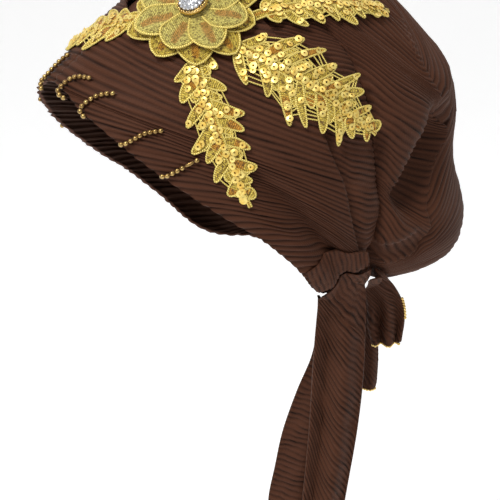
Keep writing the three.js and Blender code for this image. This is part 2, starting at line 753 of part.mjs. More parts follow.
const bezelHeight = LACE_GAP + LACE_WALL * 2 + 3.9;
const bezel = makeTurned(
  [
    [0, 0], [BEZEL_RADIUS, 0], [BEZEL_RADIUS, 2.4],
    [STONE_RADIUS + 0.6, 2.4], [STONE_RADIUS + 0.6, 1], [0, 1],
  ],
  bezelHeight,
  16,
);
const stone = makeTurned(
  [
    [0, 0], [STONE_RADIUS, 0], [STONE_RADIUS, 1.4],
    [STONE_RADIUS * 0.86, 3], [STONE_RADIUS * 0.5, 4.2], [0, 4.6],
  ],
  bezelHeight + 1.8,
  14,
);
for (const [name, turned, look] of [['bezel', bezel, GOLD], ['stones', stone, STONES]]) {
  const mesh = addPiece(name, turned.geometry, look);
  mesh.position.copy(turned.stand);
  mesh.quaternion.copy(turned.turn);
}

for (const string of STRINGS) addPiece(string.name, makeString(string.path), BRASS);

export default turban;
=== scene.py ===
import math

import bpy
import numpy as np
from mathutils import Matrix, Vector


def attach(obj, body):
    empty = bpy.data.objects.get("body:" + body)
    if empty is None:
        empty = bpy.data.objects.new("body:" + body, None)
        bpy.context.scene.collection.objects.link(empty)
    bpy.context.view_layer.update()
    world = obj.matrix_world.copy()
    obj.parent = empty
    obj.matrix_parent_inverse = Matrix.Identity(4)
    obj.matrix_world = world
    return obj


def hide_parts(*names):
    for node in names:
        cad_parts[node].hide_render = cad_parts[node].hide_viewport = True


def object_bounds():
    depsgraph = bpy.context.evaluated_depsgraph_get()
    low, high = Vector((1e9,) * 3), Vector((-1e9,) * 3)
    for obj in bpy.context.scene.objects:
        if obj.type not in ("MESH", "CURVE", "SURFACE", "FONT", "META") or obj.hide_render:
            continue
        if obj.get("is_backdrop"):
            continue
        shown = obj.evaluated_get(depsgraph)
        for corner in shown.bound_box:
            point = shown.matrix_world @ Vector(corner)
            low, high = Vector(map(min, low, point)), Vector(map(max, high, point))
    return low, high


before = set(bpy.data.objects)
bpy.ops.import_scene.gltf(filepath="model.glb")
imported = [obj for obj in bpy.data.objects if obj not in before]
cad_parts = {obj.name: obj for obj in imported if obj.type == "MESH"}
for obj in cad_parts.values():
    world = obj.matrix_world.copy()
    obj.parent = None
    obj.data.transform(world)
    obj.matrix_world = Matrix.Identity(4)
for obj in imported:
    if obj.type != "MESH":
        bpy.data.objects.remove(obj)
cad_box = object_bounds()

# camera
# The photograph looks at the wearer's left front from a little above. Its distance is taken as a metre,
# and the frame's origin falls on one of its pixels, counted from the top left corner.
VIEW_TURN = 60.0
VIEW_LIFT = 18.0
VIEW_DISTANCE = 1.0
PIXELS_PER_M = 1800.0
ORIGIN_PIXEL = (240.0, 165.0)
FRAME_PIXELS = 500.0
turn, lift = math.radians(VIEW_TURN), math.radians(VIEW_LIFT)
back = Vector((math.sin(turn) * math.cos(lift), -math.cos(turn) * math.cos(lift), math.sin(lift)))
right = Vector((math.cos(turn), math.sin(turn), 0.0))
up = back.cross(right)
target = (
    right * (FRAME_PIXELS / 2 - ORIGIN_PIXEL[0]) / PIXELS_PER_M
    - up * (FRAME_PIXELS / 2 - ORIGIN_PIXEL[1]) / PIXELS_PER_M
)
camera_data = bpy.data.cameras.new("camera")
camera_data.sensor_width = 36.0
camera_data.sensor_fit = "HORIZONTAL"
camera_data.lens = camera_data.sensor_width * PIXELS_PER_M * VIEW_DISTANCE / FRAME_PIXELS
camera = bpy.data.objects.new("camera", camera_data)
camera.matrix_world = Matrix.Translation(target + back * VIEW_DISTANCE) @ Matrix(
    (right, up, back)
).transposed().to_4x4()
bpy.context.scene.collection.objects.link(camera)
bpy.context.scene.camera = camera

# floor, backdrop and light
# A plain pale floor that runs up into a backdrop, and soft lamps like a photo tent's.
FLOOR_DROP = 0.45
FLOOR_NEAR, FLOOR_FAR = -5.0, 1.6
BEND_RADIUS = 1.2
BACKDROP_TOP = 6.0
BACKDROP_HALF_WIDTH = 6.0


def mesh_object(name, verts, faces):
    mesh = bpy.data.meshes.new(name)
    mesh.from_pydata([tuple(v) for v in verts], [], [tuple(f) for f in faces])
    mesh.update()
    obj = bpy.data.objects.new(name, mesh)
    bpy.context.scene.collection.objects.link(obj)
    return obj


def material(name):
    mat = bpy.data.materials.new(name)
    mat.use_nodes = True
    tree = mat.node_tree
    return mat, tree, tree.nodes["Principled BSDF"]


def node(tree, kind, **settings):
    made = tree.nodes.new(kind)
    for key, value in settings.items():
        if hasattr(made, key):
            setattr(made, key, value)
        else:
            made.inputs[key.replace("_", " ")].default_value = value
    return made


def mixed(tree, factor, first, second):
    """Mixes two colours by a factor. Each is a colour or another node's output."""
    mix = node(tree, "ShaderNodeMix", data_type="RGBA")
    tree.links.new(factor, mix.inputs["Factor"])
    for end, given in (("A", first), ("B", second)):
        if isinstance(given, tuple):
            mix.inputs[end].default_value = (*given, 1)
        else:
            tree.links.new(given, mix.inputs[end])
    return mix.outputs["Result"]


def bumped(tree, shader, height, strength, distance):
    """Raises a shader's surface by a height."""
    bump = node(tree, "ShaderNodeBump", Strength=strength, Distance=distance)
    tree.links.new(height, bump.inputs["Height"])
    tree.links.new(bump.outputs["Normal"], shader.inputs["Normal"])


paper, paper_tree, paper_shader = material("floor_paper")
paper_shader.inputs["Base Color"].default_value = (0.93, 0.93, 0.93, 1)
paper_shader.inputs["Roughness"].default_value = 0.9
paper_shader.inputs["Emission Color"].default_value = (1, 1, 1, 1)
paper_shader.inputs["Emission Strength"].default_value = 0.42
paper_grain = node(paper_tree, "ShaderNodeTexNoise", Scale=40.0, Detail=4.0)
bumped(paper_tree, paper_shader, paper_grain.outputs["Fac"], strength=0.03, distance=0.001)

sweep = [(FLOOR_NEAR, 0.0), (FLOOR_FAR, 0.0)]
sweep += [
    (FLOOR_FAR + BEND_RADIUS * math.sin(a), BEND_RADIUS - BEND_RADIUS * math.cos(a))
    for a in np.linspace(0, math.pi / 2, 14)[1:]
]
sweep += [(FLOOR_FAR + BEND_RADIUS, BACKDROP_TOP)]
flat_back = Vector((back.x, back.y, 0)).normalized()
backdrop_points = []
for out, rise in sweep:
    for side in (-BACKDROP_HALF_WIDTH, BACKDROP_HALF_WIDTH):
        spot = -flat_back * out + right * side
        backdrop_points.append((spot.x, spot.y, rise - FLOOR_DROP))
backdrop = mesh_object(
    "floor",
    backdrop_points,
    [(2 * i, 2 * i + 1, 2 * i + 3, 2 * i + 2) for i in range(len(sweep) - 1)],
)
backdrop.data.materials.append(paper)
for face in backdrop.data.polygons:
    face.use_smooth = True
backdrop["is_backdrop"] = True

LAMPS = {
    # name: turn from the view, lift, distance, size, power
    "key": (-26, 50, 1.3, 0.40, 12.5),
    "fill": (-60, 8, 1.5, 1.0, 1.6),
    "top": (95, 72, 1.2, 0.7, 2.6),
}
for name, (away, high, far, size, power) in LAMPS.items():
    lamp_data = bpy.data.lights.new(name, "AREA")
    lamp_data.energy = power
    lamp_data.size = size
    lamp = bpy.data.objects.new(name, lamp_data)
    a, e = math.radians(VIEW_TURN + away), math.radians(high)
    toward = Vector((math.sin(a) * math.cos(e), -math.cos(a) * math.cos(e), math.sin(e)))
    lamp.location = toward * far
    lamp.rotation_euler = toward.to_track_quat("Z", "Y").to_euler()
    bpy.context.scene.collection.objects.link(lamp)
world = bpy.data.worlds.new("studio")
world.use_nodes = True
world.node_tree.nodes["Background"].inputs["Color"].default_value = (1, 1, 1, 1)
world.node_tree.nodes["Background"].inputs["Strength"].default_value = 0.30
bpy.context.scene.world = world
bpy.context.scene.view_settings.view_transform = "Standard"

# pleated cloth
# Light knit, taken as polyester, set into fine crinkle pleats. It shows as soft ribs, modelled about
# 3.7 mm apart, that run along the folds, with painted shade darkening their valleys.
CLOTH_WALL = 2.2
RIB_PITCH = 3.7
RIB_DEPTH = 1.25
ROWS_PER_RIB = 5
SAMPLES_PER_GUIDE = 24


def pleat_material(name, light, dark, shade):
    mat, tree, shader = material(name)
    valley = node(tree, "ShaderNodeAttribute", attribute_name="valley")
    uv = node(tree, "ShaderNodeUVMap", uv_map="cloth")
    patch = node(tree, "ShaderNodeTexNoise", Scale=28.0, Detail=5.0, Roughness=0.6)
    coord = node(tree, "ShaderNodeTexCoord")
    tree.links.new(coord.outputs["Object"], patch.inputs["Vector"])
    tone = mixed(tree, patch.outputs["Fac"], light, dark)
    # painted shade: the colour goes towards the shade colour in the rib valleys
    tree.links.new(mixed(tree, valley.outputs["Fac"], tone, shade), shader.inputs["Base Color"])
    shader.inputs["Roughness"].default_value = 0.66
    shader.inputs["Sheen Weight"].default_value = 0.07
    shader.inputs["Sheen Roughness"].default_value = 0.45
    shader.inputs["Sheen Tint"].default_value = (0.72, 0.52, 0.42, 1)
    shader.inputs["Specular IOR Level"].default_value = 0.12
    # knit wales run along the ribs, courses across them
    wales = node(tree, "ShaderNodeTexWave", wave_type="BANDS", bands_direction="Y", Scale=260.0,
                 Distortion=1.2, Detail=2.0, Detail_Scale=3.0)
    courses = node(tree, "ShaderNodeTexWave", wave_type="BANDS", bands_direction="X", Scale=180.0,
                   Distortion=2.0, Detail=2.0, Detail_Scale=2.0)
    tree.links.new(uv.outputs["UV"], wales.inputs["Vector"])
    tree.links.new(uv.outputs["UV"], courses.inputs["Vector"])
    knit = node(tree, "ShaderNodeMath", operation="MULTIPLY")
    tree.links.new(wales.outputs["Fac"], knit.inputs[0])
    tree.links.new(courses.outputs["Fac"], knit.inputs[1])
    crinkle = node(tree, "ShaderNodeTexNoise", Scale=420.0, Detail=3.0)
    tree.links.new(coord.outputs["Object"], crinkle.inputs["Vector"])
    weave = node(tree, "ShaderNodeMath", operation="ADD")
    tree.links.new(knit.outputs[0], weave.inputs[0])
    tree.links.new(crinkle.outputs["Fac"], weave.inputs[1])
    bumped(tree, shader, weave.outputs[0], strength=0.35, distance=0.00035)
    return mat


cloth = pleat_material("pleated_cloth", (0.098, 0.036, 0.018), (0.062, 0.021, 0.010), (0.007, 0.0025, 0.0012))
# a darker copy of the same cloth for its inner faces: painted shade
shaded_cloth_inside = pleat_material(
    "pleated_cloth_inside_shaded", (0.050, 0.020, 0.011), (0.034, 0.013, 0.007), (0.008, 0.003, 0.0015)
)

# The wrap: head-shaped, measured from a centre, with broad swells (mm and degrees)
CENTRE = np.array([0.0, 15.0, 15.0])
HALF_SIDE, HALF_FRONT, HALF_BACK, HALF_UP, HALF_DOWN = 84.5, 115.0, 103.5, 101.0, 93.0
SWELLS = [
    dict(turn=0, lift=7.7, turn_spread=16.8, lift_spread=15, rise=23),
    dict(turn=0, lift=46, turn_spread=60, lift_spread=18, rise=1.5),
    dict(turn=150, lift=14.4, turn_spread=22, lift_spread=9, rise=9.3),
    dict(turn=152, lift=-29, turn_spread=30, lift_spread=12, rise=18.5),
    dict(turn=180, lift=-40, turn_spread=25, lift_spread=12, rise=7.2),
]
POLE = np.array([0, -0.52, 0.853])
POLE /= np.linalg.norm(POLE)
LEFT = np.array([1.0, 0, 0])
FRONT = np.array([0, -1.0, 0]) + POLE * POLE[1]
FRONT /= np.linalg.norm(FRONT)

# Fold lines: down = degrees from the pole under the flower, round = degrees about it from the front
RIM = dict(
    down=[38.4, 39, 40.8, 44, 51, 57, 62, 68, 74, 81, 93, 102, 111, 126, 135, 141, 146],
    round=[0, 5, 10, 17, 27, 33, 38, 41, 44, 48.5, 54, 57, 58, 57.5, 61.5, 66, 71],
)
BAND_EDGE = dict(
    down=[0, 35, 54, 78, 93, 103, 112, 123, 148],
    round=[108, 103, 95, 88, 86.5, 83.5, 81, 79, 74],
)
BAND_VALLEY = dict(
    down=[60, 74, 91, 104, 117, 128, 148],
    round=[58, 62.5, 67, 69, 71, 70.5, 68],
    depth=[0, 3.5, 6.5, 8, 8, 5, 2],
)
PUFF_EDGE = dict(
    down=[0, 40, 58, 66, 76, 90, 106, 113, 118, 123, 130, 150],
    round=[128, 123, 122, 119, 114, 107.5, 101, 98.5, 93.5, 88.5, 85.5, 82],
    depth=[0, 1.5, 4, 5, 6, 7.5, 8, 8, 8, 8, 7, 5],
)
NAPE_EDGE = dict(round=[68, 90, 120, 150, 180], down=[147.5, 152, 160, 166, 169])
HOLLOWS = [
    dict(at=(131, 107), to=(110, 117), width=8.5, depth=17),
    dict(at=(133, 106.5), to=(180, 103), width=7, depth=4),
    dict(at=(104, 130), to=(84, 128), width=4, depth=7),
    dict(at=(134, 62), to=(133, 102), width=5, depth=2.2),
]


def look_up(table, key, column, at):
    return np.interp(at, table[key], table[column])


def smooth(low, high, x):
    t = np.clip((x - low) / (high - low), 0, 1)
    return t * t * (3 - 2 * t)


def from_turn_lift(turn, lift):
    t, l = np.radians(turn), np.radians(lift)
    return np.stack([np.cos(l) * np.sin(t), -np.cos(l) * np.cos(t), np.sin(l)], -1)


def from_round_down(round_, down):
    r, d = np.radians(round_), np.radians(down)
    return (
        np.cos(d)[..., None] * POLE
        + (np.sin(d) * np.cos(r))[..., None] * FRONT
        + (np.sin(d) * np.sin(r))[..., None] * LEFT
    )


def to_round_down(dirs):
    return (
        np.degrees(np.abs(np.arctan2(dirs @ LEFT, dirs @ FRONT))),
        np.degrees(np.arccos(np.clip(dirs @ POLE, -1, 1))),
    )


def to_turn_lift(dirs):
    return (
        np.degrees(np.arctan2(dirs[..., 0], -dirs[..., 1])),
        np.degrees(np.arcsin(np.clip(dirs[..., 2], -1, 1))),
    )


def wrap_radius(dirs):
    half_y = np.where(dirs[..., 1] < 0, HALF_FRONT, HALF_BACK)
    half_z = np.where(dirs[..., 2] > 0, HALF_UP, HALF_DOWN)
    radius = 1 / np.sqrt(
        (dirs[..., 0] / HALF_SIDE) ** 2 + (dirs[..., 1] / half_y) ** 2 + (dirs[..., 2] / half_z) ** 2
    )
    turn, lift = to_turn_lift(dirs)
    turn = np.abs(turn)
    level = np.cos(np.radians(lift))
    for s in SWELLS:
        for side in (1, -1) if 0 < s["turn"] < 180 else (1,):
            off = (turn - s["turn"] * side + 540) % 360 - 180
            u, v = off * level / s["turn_spread"], (lift - s["lift"]) / s["lift_spread"]
            radius = radius + s["rise"] * np.exp(-0.5 * (u * u + v * v))
    return radius


def crown_radius(dirs):
    round_, down = to_round_down(dirs)
    wrap = wrap_radius(dirs)
    band_edge = look_up(BAND_EDGE, "down", "round", down)
    puff_edge = look_up(PUFF_EDGE, "down", "round", down)
    crease = look_up(PUFF_EDGE, "down", "depth", down)
    shown = smooth(band_edge + 0.9, band_edge + 6, round_) * smooth(14, 24, down)
    off = np.radians(round_ - puff_edge) * wrap * np.sin(np.radians(down))
    fade = np.where(off < 0, np.exp(np.minimum(off, 0) / 9), np.exp(-np.maximum(off, 0) / 3.2))
    relief = 3.2 * shown - crease * fade * shown
    relief += np.where(off > 0, 2.2 * (crease / 8) * (1 - np.exp(-np.maximum(off, 0) / 9)) * shown, 0)
    for h in HOLLOWS:
        squash = math.sin(math.radians((h["at"][1] + h["to"][1]) / 2))
        dx, dy = (h["to"][0] - h["at"][0]) * squash, h["to"][1] - h["at"][1]
        px, py = (round_ - h["at"][0]) * squash, down - h["at"][1]
        t = np.clip((px * dx + py * dy) / (dx * dx + dy * dy), 0, 1)
        share = np.hypot(px - t * dx, py - t * dy) / h["width"]
        relief -= h["depth"] * np.exp(-1.2 * share ** 3) * shown
    return wrap - 1.3 + relief


def band_radius(dirs):
    round_, down = to_round_down(dirs)
    rim = look_up(RIM, "down", "round", down)
    edge = look_up(BAND_EDGE, "down", "round", down)
    valley = look_up(BAND_VALLEY, "down", "round", down)
    depth = look_up(BAND_VALLEY, "down", "depth", down)
    off = (round_ - valley) * np.sin(np.radians(down))
    dip = depth * np.exp(-0.5 * (off / 2.4) ** 2)
    folds = 1.6 * np.exp(-0.5 * ((off - 8) / 5) ** 2) + 1.6 * np.exp(-0.5 * ((off + 7) / 5) ** 2)
    share = np.clip((edge - round_) / 6, 0, 1)
    roll = 1.4 * np.exp(-0.5 * ((round_ - rim) / 3) ** 2) * smooth(46, 60, down)
    return wrap_radius(dirs) + 2.6 + (folds * (depth / 6) - dip) * share + roll


def wander(seed, *fields):
    """Slow uneven drift from -1 to 1, the same in every run."""
    rng = np.random.default_rng(seed)
    total = 0
    for _ in range(5):
        step = sum(f * rng.uniform(0.4, 1.6) for f in fields) + rng.uniform(0, 2 * math.pi)
        total = total + np.sin(step) * rng.uniform(0.5, 1)
    return total / 3.2


def spline_rows(rows, at):
    """Catmull-Rom reading of an array of control rows at fractional row numbers."""
    n = len(rows)
    i = np.clip(np.floor(at).astype(int), 0, n - 2)
    t = (at - i).reshape((-1,) + (1,) * (rows.ndim - 1))
    p0, p1, p2, p3 = rows[np.maximum(i - 1, 0)], rows[i], rows[i + 1], rows[np.minimum(i + 2, n - 1)]
    return 0.5 * (
        2 * p1 + (p2 - p0) * t + (2 * p0 - 5 * p1 + 4 * p2 - p3) * t ** 2
        + (3 * p1 - p0 - 3 * p2 + p3) * t ** 3
    )


def pleats(guides, surface, columns, seed, pitch=RIB_PITCH, depth=RIB_DEPTH, measure_at=0.5,
           ends=(0.0, 0.0), edges=(0.0, 0.0)):
    """Rows of ribs laid along guide lines. guides[i, k] is the k-th control direction (or point) of the
    i-th guide. surface turns directions into mm points and outward normals. Gives the grid of points,
    of normals, of cloth coordinates and of painted shade for the rib valleys."""
    guides = np.asarray(guides, float)
    count, stations = guides.shape[:2]
    fine = np.linspace(0, count - 1, count * SAMPLES_PER_GUIDE)
    mid = spline_rows(guides, fine)
    mid = spline_rows(np.swapaxes(mid, 0, 1), np.array([measure_at * (stations - 1)]))[0]
    mid_points = surface(mid)[0]
    run = np.concatenate([[0], np.cumsum(np.linalg.norm(np.diff(mid_points, axis=0), axis=1))])
    ribs = max(3, round(run[-1] / pitch))
    rows = np.interp(np.linspace(0, run[-1], ribs * ROWS_PER_RIB + 1), run, fine)
    lines = spline_rows(guides, rows)
    t = np.linspace(0, 1, columns)
    swapped = np.swapaxes(lines, 0, 1)
    grid = np.swapaxes(spline_rows(swapped, t * (stations - 1)), 0, 1)
    points, normals = surface(grid)
    w = np.linspace(0, ribs, ribs * ROWS_PER_RIB + 1)[:, None]
    tt = t[None, :]
    step = np.zeros(points.shape[:2])
    gap = np.linalg.norm(np.diff(points, axis=0), axis=2)
    step[:-1] += gap
    step[1:] += gap
    step[1:-1] /= 2
    spread = step * ROWS_PER_RIB / pitch
    phase = w + 0.26 * wander(seed, tt * 7, w * 0.9) + 0.17 * wander(seed + 1, tt * 17, w * 0.5)
    ridge = np.abs(np.sin(math.pi * phase)) ** 0.75
    rib_no = np.round(w)
    strength = 0.8 + 0.42 * wander(seed + 2, rib_no * 2.1, tt * 5) + 0.22 * wander(seed + 3, tt * 13, w)
    swell = 0.35 * wander(seed + 4, w * 0.55, tt * 3)
    fade = np.ones_like(tt)
    if ends[0]:
        fade = fade * smooth(0, ends[0], tt)
    if ends[1]:
        fade = fade * smooth(0, ends[1], 1 - tt)
    side = np.ones_like(w)
    if edges[0]:
        side = side * smooth(0, edges[0], w)
    if edges[1]:
        side = side * smooth(0, edges[1], ribs - w)
    relief = depth * np.clip(spread, 0.15, 1.25) ** 0.9 * (ridge * strength + swell) * fade * side
    relief = relief - depth * 0.45 * fade * side
    points = points + normals * relief[..., None]
    along = np.zeros(points.shape[:2])
    along[:, 1:] = np.cumsum(np.linalg.norm(np.diff(points, axis=1), axis=2), axis=1)
    across = np.broadcast_to(w * pitch, along.shape)
    # painted shade: this mask darkens the colour in the rib valleys
    valley = (1 - ridge) ** 0.9 * np.clip(strength, 0.3, 1.2) * 0.95
    return points, normals, np.stack([along, across], -1) / 1000, np.broadcast_to(valley, along.shape)


def shell_mesh(name, patches, mats, node_names):
    """One piece from patches of (outer, inner, uv, shade, flip) grids, each closed round its edge."""
    verts, faces, uvs, shade, inside = [], [], [], [], []
    start = 0
    for outer, inner, uv, valley, flip in patches:
        r, c = outer.shape[:2]
        idx = np.arange(r * c).reshape(r, c) + start
        far = idx + r * c
        front = np.stack([idx[:-1, :-1], idx[:-1, 1:], idx[1:, 1:], idx[1:, :-1]], -1).reshape(-1, 4)
        behind = np.stack([far[:-1, :-1], far[1:, :-1], far[1:, 1:], far[:-1, 1:]], -1).reshape(-1, 4)
        ring = np.concatenate([idx[0, :-1], idx[:-1, -1], idx[-1, :0:-1], idx[:0:-1, 0]])
        after = np.roll(ring, -1)
        rim = np.stack([after, ring, ring + r * c, after + r * c], -1)
        block = np.concatenate([front, behind, rim])
        verts += [outer.reshape(-1, 3), inner.reshape(-1, 3)]
        faces.append(block[:, ::-1] if flip else block)
        uvs += [uv.reshape(-1, 2)] * 2
        # the inner faces keep less of the painted valley shade
        shade += [valley.reshape(-1), valley.reshape(-1) * 0.4]
        inside += [np.zeros(len(front)), np.ones(len(behind)), np.zeros(len(rim))]
        start += 2 * r * c
    verts, faces, uvs = np.concatenate(verts) / 1000, np.concatenate(faces), np.concatenate(uvs)
    mesh = bpy.data.meshes.new(name)
    mesh.from_pydata(verts.tolist(), [], faces.tolist())
    layer = mesh.uv_layers.new(name="cloth")
    layer.data.foreach_set("uv", uvs[faces.reshape(-1)].astype(np.float32).reshape(-1))
    # valley holds the painted shade of the cloth's rib valleys, and on the lace the parts that are dyed
    kept = mesh.attributes.new("valley", "FLOAT", "POINT")
    kept.data.foreach_set("value", np.clip(np.concatenate(shade), 0, 1).astype(np.float32))
    for mat in mats:
        mesh.materials.append(mat)
    # inner faces take the last material: for the band and crown a darker copy of the cloth, painted shade
    backs = np.concatenate(inside).astype(np.int32) * (len(mats) - 1)
    mesh.polygons.foreach_set("material_index", backs)
    mesh.polygons.foreach_set("use_smooth", np.ones(len(faces), bool))
    mesh.update()
    obj = bpy.data.objects.new(name, mesh)
    bpy.context.scene.collection.objects.link(obj)
    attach(obj, "root")
    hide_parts(*node_names)


def cloth_mesh(name, patches, mats, node_names, wall=CLOTH_WALL):
    """Pleated patches of (points, normals, uv, valley, flip) as cloth of that thickness."""
    shells = [(p, p - n * wall, uv, valley, flip) for p, n, uv, valley, flip in patches]
    shell_mesh(name, shells, mats, node_names)


def on_wrap(radius_of, lift=0.0):
    def surface(dirs):
        dirs = dirs / np.linalg.norm(dirs, axis=-1, keepdims=True)
        return CENTRE + dirs * (radius_of(dirs) + lift)[..., None], dirs
    return surface


def mirrored(patch):
    points, normals, uv, valley, flip = patch
    turned = np.array([-1.0, 1, 1])
    return points * turned, normals * turned, uv, valley, not flip


# Front band: doubled cloth from the crease behind the flower to the rim over the brow and ears.
# Its ribs run level over the brow and fall towards the knot. Each row is one guide rib, from the rim
# (or the middle of the brow, or the gathers under the flower) back to the band's rear edge.
BAND_GUIDES = [
    # start round, start down, end down
    (71.0, 146.0, 146.5),
    (61.5, 135.0, 144.5),
    (57.5, 126.0, 142.5),
    (58.0, 111.0, 138.0),
    (54.5, 94.0, 132.0),
    (48.5, 81.0, 127.0),
    (41.0, 68.0, 121.0),
    (33.0, 57.0, 114.5),
    (27.0, 51.0, 110.0),
    (17.0, 44.0, 103.0),
    (9.0, 40.4, 98.0),
    (0.0, 38.4, 92.0),
    (0.0, 32.0, 83.0),
    (0.0, 25.0, 73.0),
    (0.0, 18.0, 63.0),
    (12.0, 15.0, 55.0),
    (45.0, 15.0, 42.0),
    (80.0, 15.0, 28.0),
    (108.0, 15.0, 16.0),
]
BAND_FALL = 1.55
band_guides = []
for start_round, start_down, end_down in BAND_GUIDES:
    ends = from_round_down(
        np.array([start_round, look_up(BAND_EDGE, "down", "round", end_down)]),
        np.array([start_down, end_down]),
    )
    turns, lifts = to_turn_lift(ends)
    t = np.linspace(0, 1, 6)
    path_turn = turns[0] + (turns[1] - turns[0]) * t
    path_lift = lifts[0] + (lifts[1] - lifts[0]) * t ** BAND_FALL
    band_guides.append(from_turn_lift(path_turn, path_lift))
band_left = (*pleats(band_guides, on_wrap(band_radius), 46, 11, measure_at=0.55), False)
cloth_mesh("front_band_cloth", [band_left, mirrored(band_left)], [cloth, shaded_cloth_inside], ["front_band"])

# crown
# The bag of cloth behind the band: its ribs fan from the gathers under the flower. The panel next to
# the band folds under the puff, the upper back hangs straight, and the lobe below wraps to the knot.
def guide_rows(rows):
    """Rows that give round and down by turns, one row a guide rib, as directions."""
    rows = np.array(rows, float).reshape(len(rows), -1, 2)
    return from_round_down(rows[..., 0], rows[..., 1])


def on_crown(sink_start, sink_end, share=0.06):
    """The crown's surface, lowered at the ribs' ends where a neighbouring fold covers them."""
    def surface(dirs):
        points, normals = on_wrap(crown_radius)(dirs)
        if dirs.ndim == 3:
            t = np.linspace(0, 1, dirs.shape[1])[None, :, None]
            drop = sink_start * (1 - smooth(0, share, t)) + sink_end * (1 - smooth(0, share, 1 - t))
            points = points - normals * drop
        return points, normals
    return surface


# next to the band: each rib runs from under the band to the puff's crease
PANEL = [
    # start round, down, middle round, down, end round, down
    (103, 12, 113, 26, 124, 40),
    (100, 24, 110, 38, 122.2, 54),
    (97, 38, 107, 53, 119.5, 65.5),
    (92.5, 52, 101, 67, 113.5, 78),
    (88, 66, 95, 80, 106.5, 92.5),
    (84, 80, 91.8, 92.5, 102, 104.5),
    (82, 91, 88.5, 102, 98.8, 113),
    (79.5, 102, 85, 112, 94.5, 118.5),
    (77.5, 111, 82, 119.5, 90, 123),
    (76, 119, 79.5, 126, 86.8, 128.5),
    (74.5, 127, 77.5, 132, 84.5, 134.5),
    (73.5, 135, 76.5, 138.5, 82.5, 140.5),
    (70, 146.5, 75, 148, 82, 151),
]
panel = (*pleats(guide_rows(PANEL), on_crown(0.8, 1.2), 26, 23, ends=(0, 0.04)), True)

# the puff: from the gathers and the crease back to the upright panel, the pocket and the tongue's edge
PUFF = [
    # start round, down, middle round, down, edge round, down, tuck round, down
    (151, 28, 150, 50, 149.5, 71, 152, 75),
    (140, 29, 140, 56, 139.6, 81, 142, 85),
    (131, 30, 130, 62, 135, 89.5, 138, 93.5),
    (124.5, 33, 127.5, 70, 136, 99.5, 139.5, 103),
    (122, 50, 124.5, 80, 139, 108.5, 142.5, 111),
    (119, 64.5, 120.5, 86, 137.5, 111.2, 140, 112.8),
    (113.5, 77, 116.5, 90, 131.5, 113.3, 136, 115.3),
    (108.8, 86.5, 110.6, 98, 123.8, 115.8, 130, 118.3),
    (105.4, 94, 108.0, 104.5, 117.2, 119.6, 122.5, 121.6),
    (102.3, 102, 104.8, 112, 111.2, 123.6, 115, 125.4),
    (99.6, 109.5, 100.8, 119, 106.4, 129.4, 108, 131.6),
    (96.2, 115.5, 95.6, 122, 100.6, 131.4, 101.5, 134),
    (91.8, 119.5, 91.4, 125.4, 94.4, 131.4, 95, 134),
    (86.2, 125.6, 86.4, 129.0, 88, 131.8, 88.6, 134),
]


def puff_surface(dirs):
    points, normals = on_wrap(crown_radius)(dirs)
    if dirs.ndim == 3:
        t = np.linspace(0, 1, dirs.shape[1])[None, :, None]
        free = smooth(116, 128, to_round_down(dirs)[1])[..., None]
        swell = 1.6 * np.exp(-0.5 * ((t - 0.6) / 0.12) ** 2) * free
        points = points + normals * (swell + 0.7 * smooth(0, 0.05, t) - 3.0 * smooth(0.8, 0.98, t))
    return points, normals


puff = (*pleats(guide_rows(PUFF), puff_surface, 38, 29, ends=(0, 0.04), edges=(0, 0.5)), True)

# the upper back: from the gathers down to the line above the lobe
UPPER = [
    # start round, down, middle round, down, low round, down, end round, down
    (148, 28, 150, 52, 148.5, 68, 145, 74),
    (157, 28, 158, 58, 149, 78, 135.5, 85.5),
    (163, 28, 166, 66, 153, 86, 132.8, 94),
    (168, 28, 170, 70, 157, 92, 135, 104.5),
    (172, 28, 173, 74, 162, 97, 145, 114.5),
    (176, 28, 176.5, 76, 171, 97, 160, 109.5),
    (180, 28, 180, 76, 180, 95, 180, 107),
]
upper = (
    *pleats(guide_rows(UPPER), on_crown(0, 2.6, 0.1), 25, 37, measure_at=0.62, ends=(0.03, 0.03)),
    True,
)

# the lobe: from the middle of the back round to the knot, along the pocket's far edge at its top
LOBE = [
    # down at round 180, 160, 145, 130, 118, 110, 101, 91, 81
    (102.5, 105.0, 109.8, 115.6, 121.4, 124.0, 127.5, 128.6, 129.5),
    (110.0, 113.5, 119.5, 122.2, 125.0, 127.4, 131.6, 132.6, 133.5),
    (120.0, 122.5, 126.0, 127.2, 128.8, 130.4, 133.2, 134.8, 137.0),
    (131.0, 132.0, 132.5, 132.8, 132.9, 133.4, 134.6, 136.0, 138.6),
    (143.0, 142.5, 141.0, 138.8, 137.8, 137.4, 137.4, 138.2, 140.6),
    (156.0, 154.0, 150.0, 146.0, 143.6, 142.4, 141.6, 141.8, 143.6),
    (168.8, 167.3, 165.0, 161.8, 159.2, 156.8, 154.2, 151.4, 149.2),
]
LOBE_ROUNDS = (180, 160, 145, 130, 118, 110, 101, 91, 81)
lobe_guides = guide_rows([[(r, d) for r, d in zip(LOBE_ROUNDS, row)] for row in LOBE])


def lobe_surface(dirs):
    points, normals = on_wrap(crown_radius)(dirs)
    round_, down = to_round_down(dirs)
    under = smooth(118, 106, round_) * smooth(133.5, 129.5, down)
    return points - normals * (3.4 * under)[..., None], normals


lobe = (
    *pleats(lobe_guides, lobe_surface, 38, 53, measure_at=0.4, ends=(0, 0.03), edges=(0.5, 0)),
    False,
)

# the cap of gathers under the flower
cap_rounds, cap_downs = np.meshgrid(np.linspace(0, 180, 30), np.linspace(0.4, 30, 10))
cap_points, cap_normals = on_wrap(crown_radius, -0.8)(from_round_down(cap_rounds, cap_downs))
cap = (
    cap_points, cap_normals, np.stack([cap_rounds, cap_downs], -1) / 600, np.zeros(cap_rounds.shape), True
)
cloth_mesh(
    "crown_cloth", [p for half in (panel, puff, upper, lobe, cap) for p in (half, mirrored(half))],
    [cloth, shaded_cloth_inside], ["crown"],
)

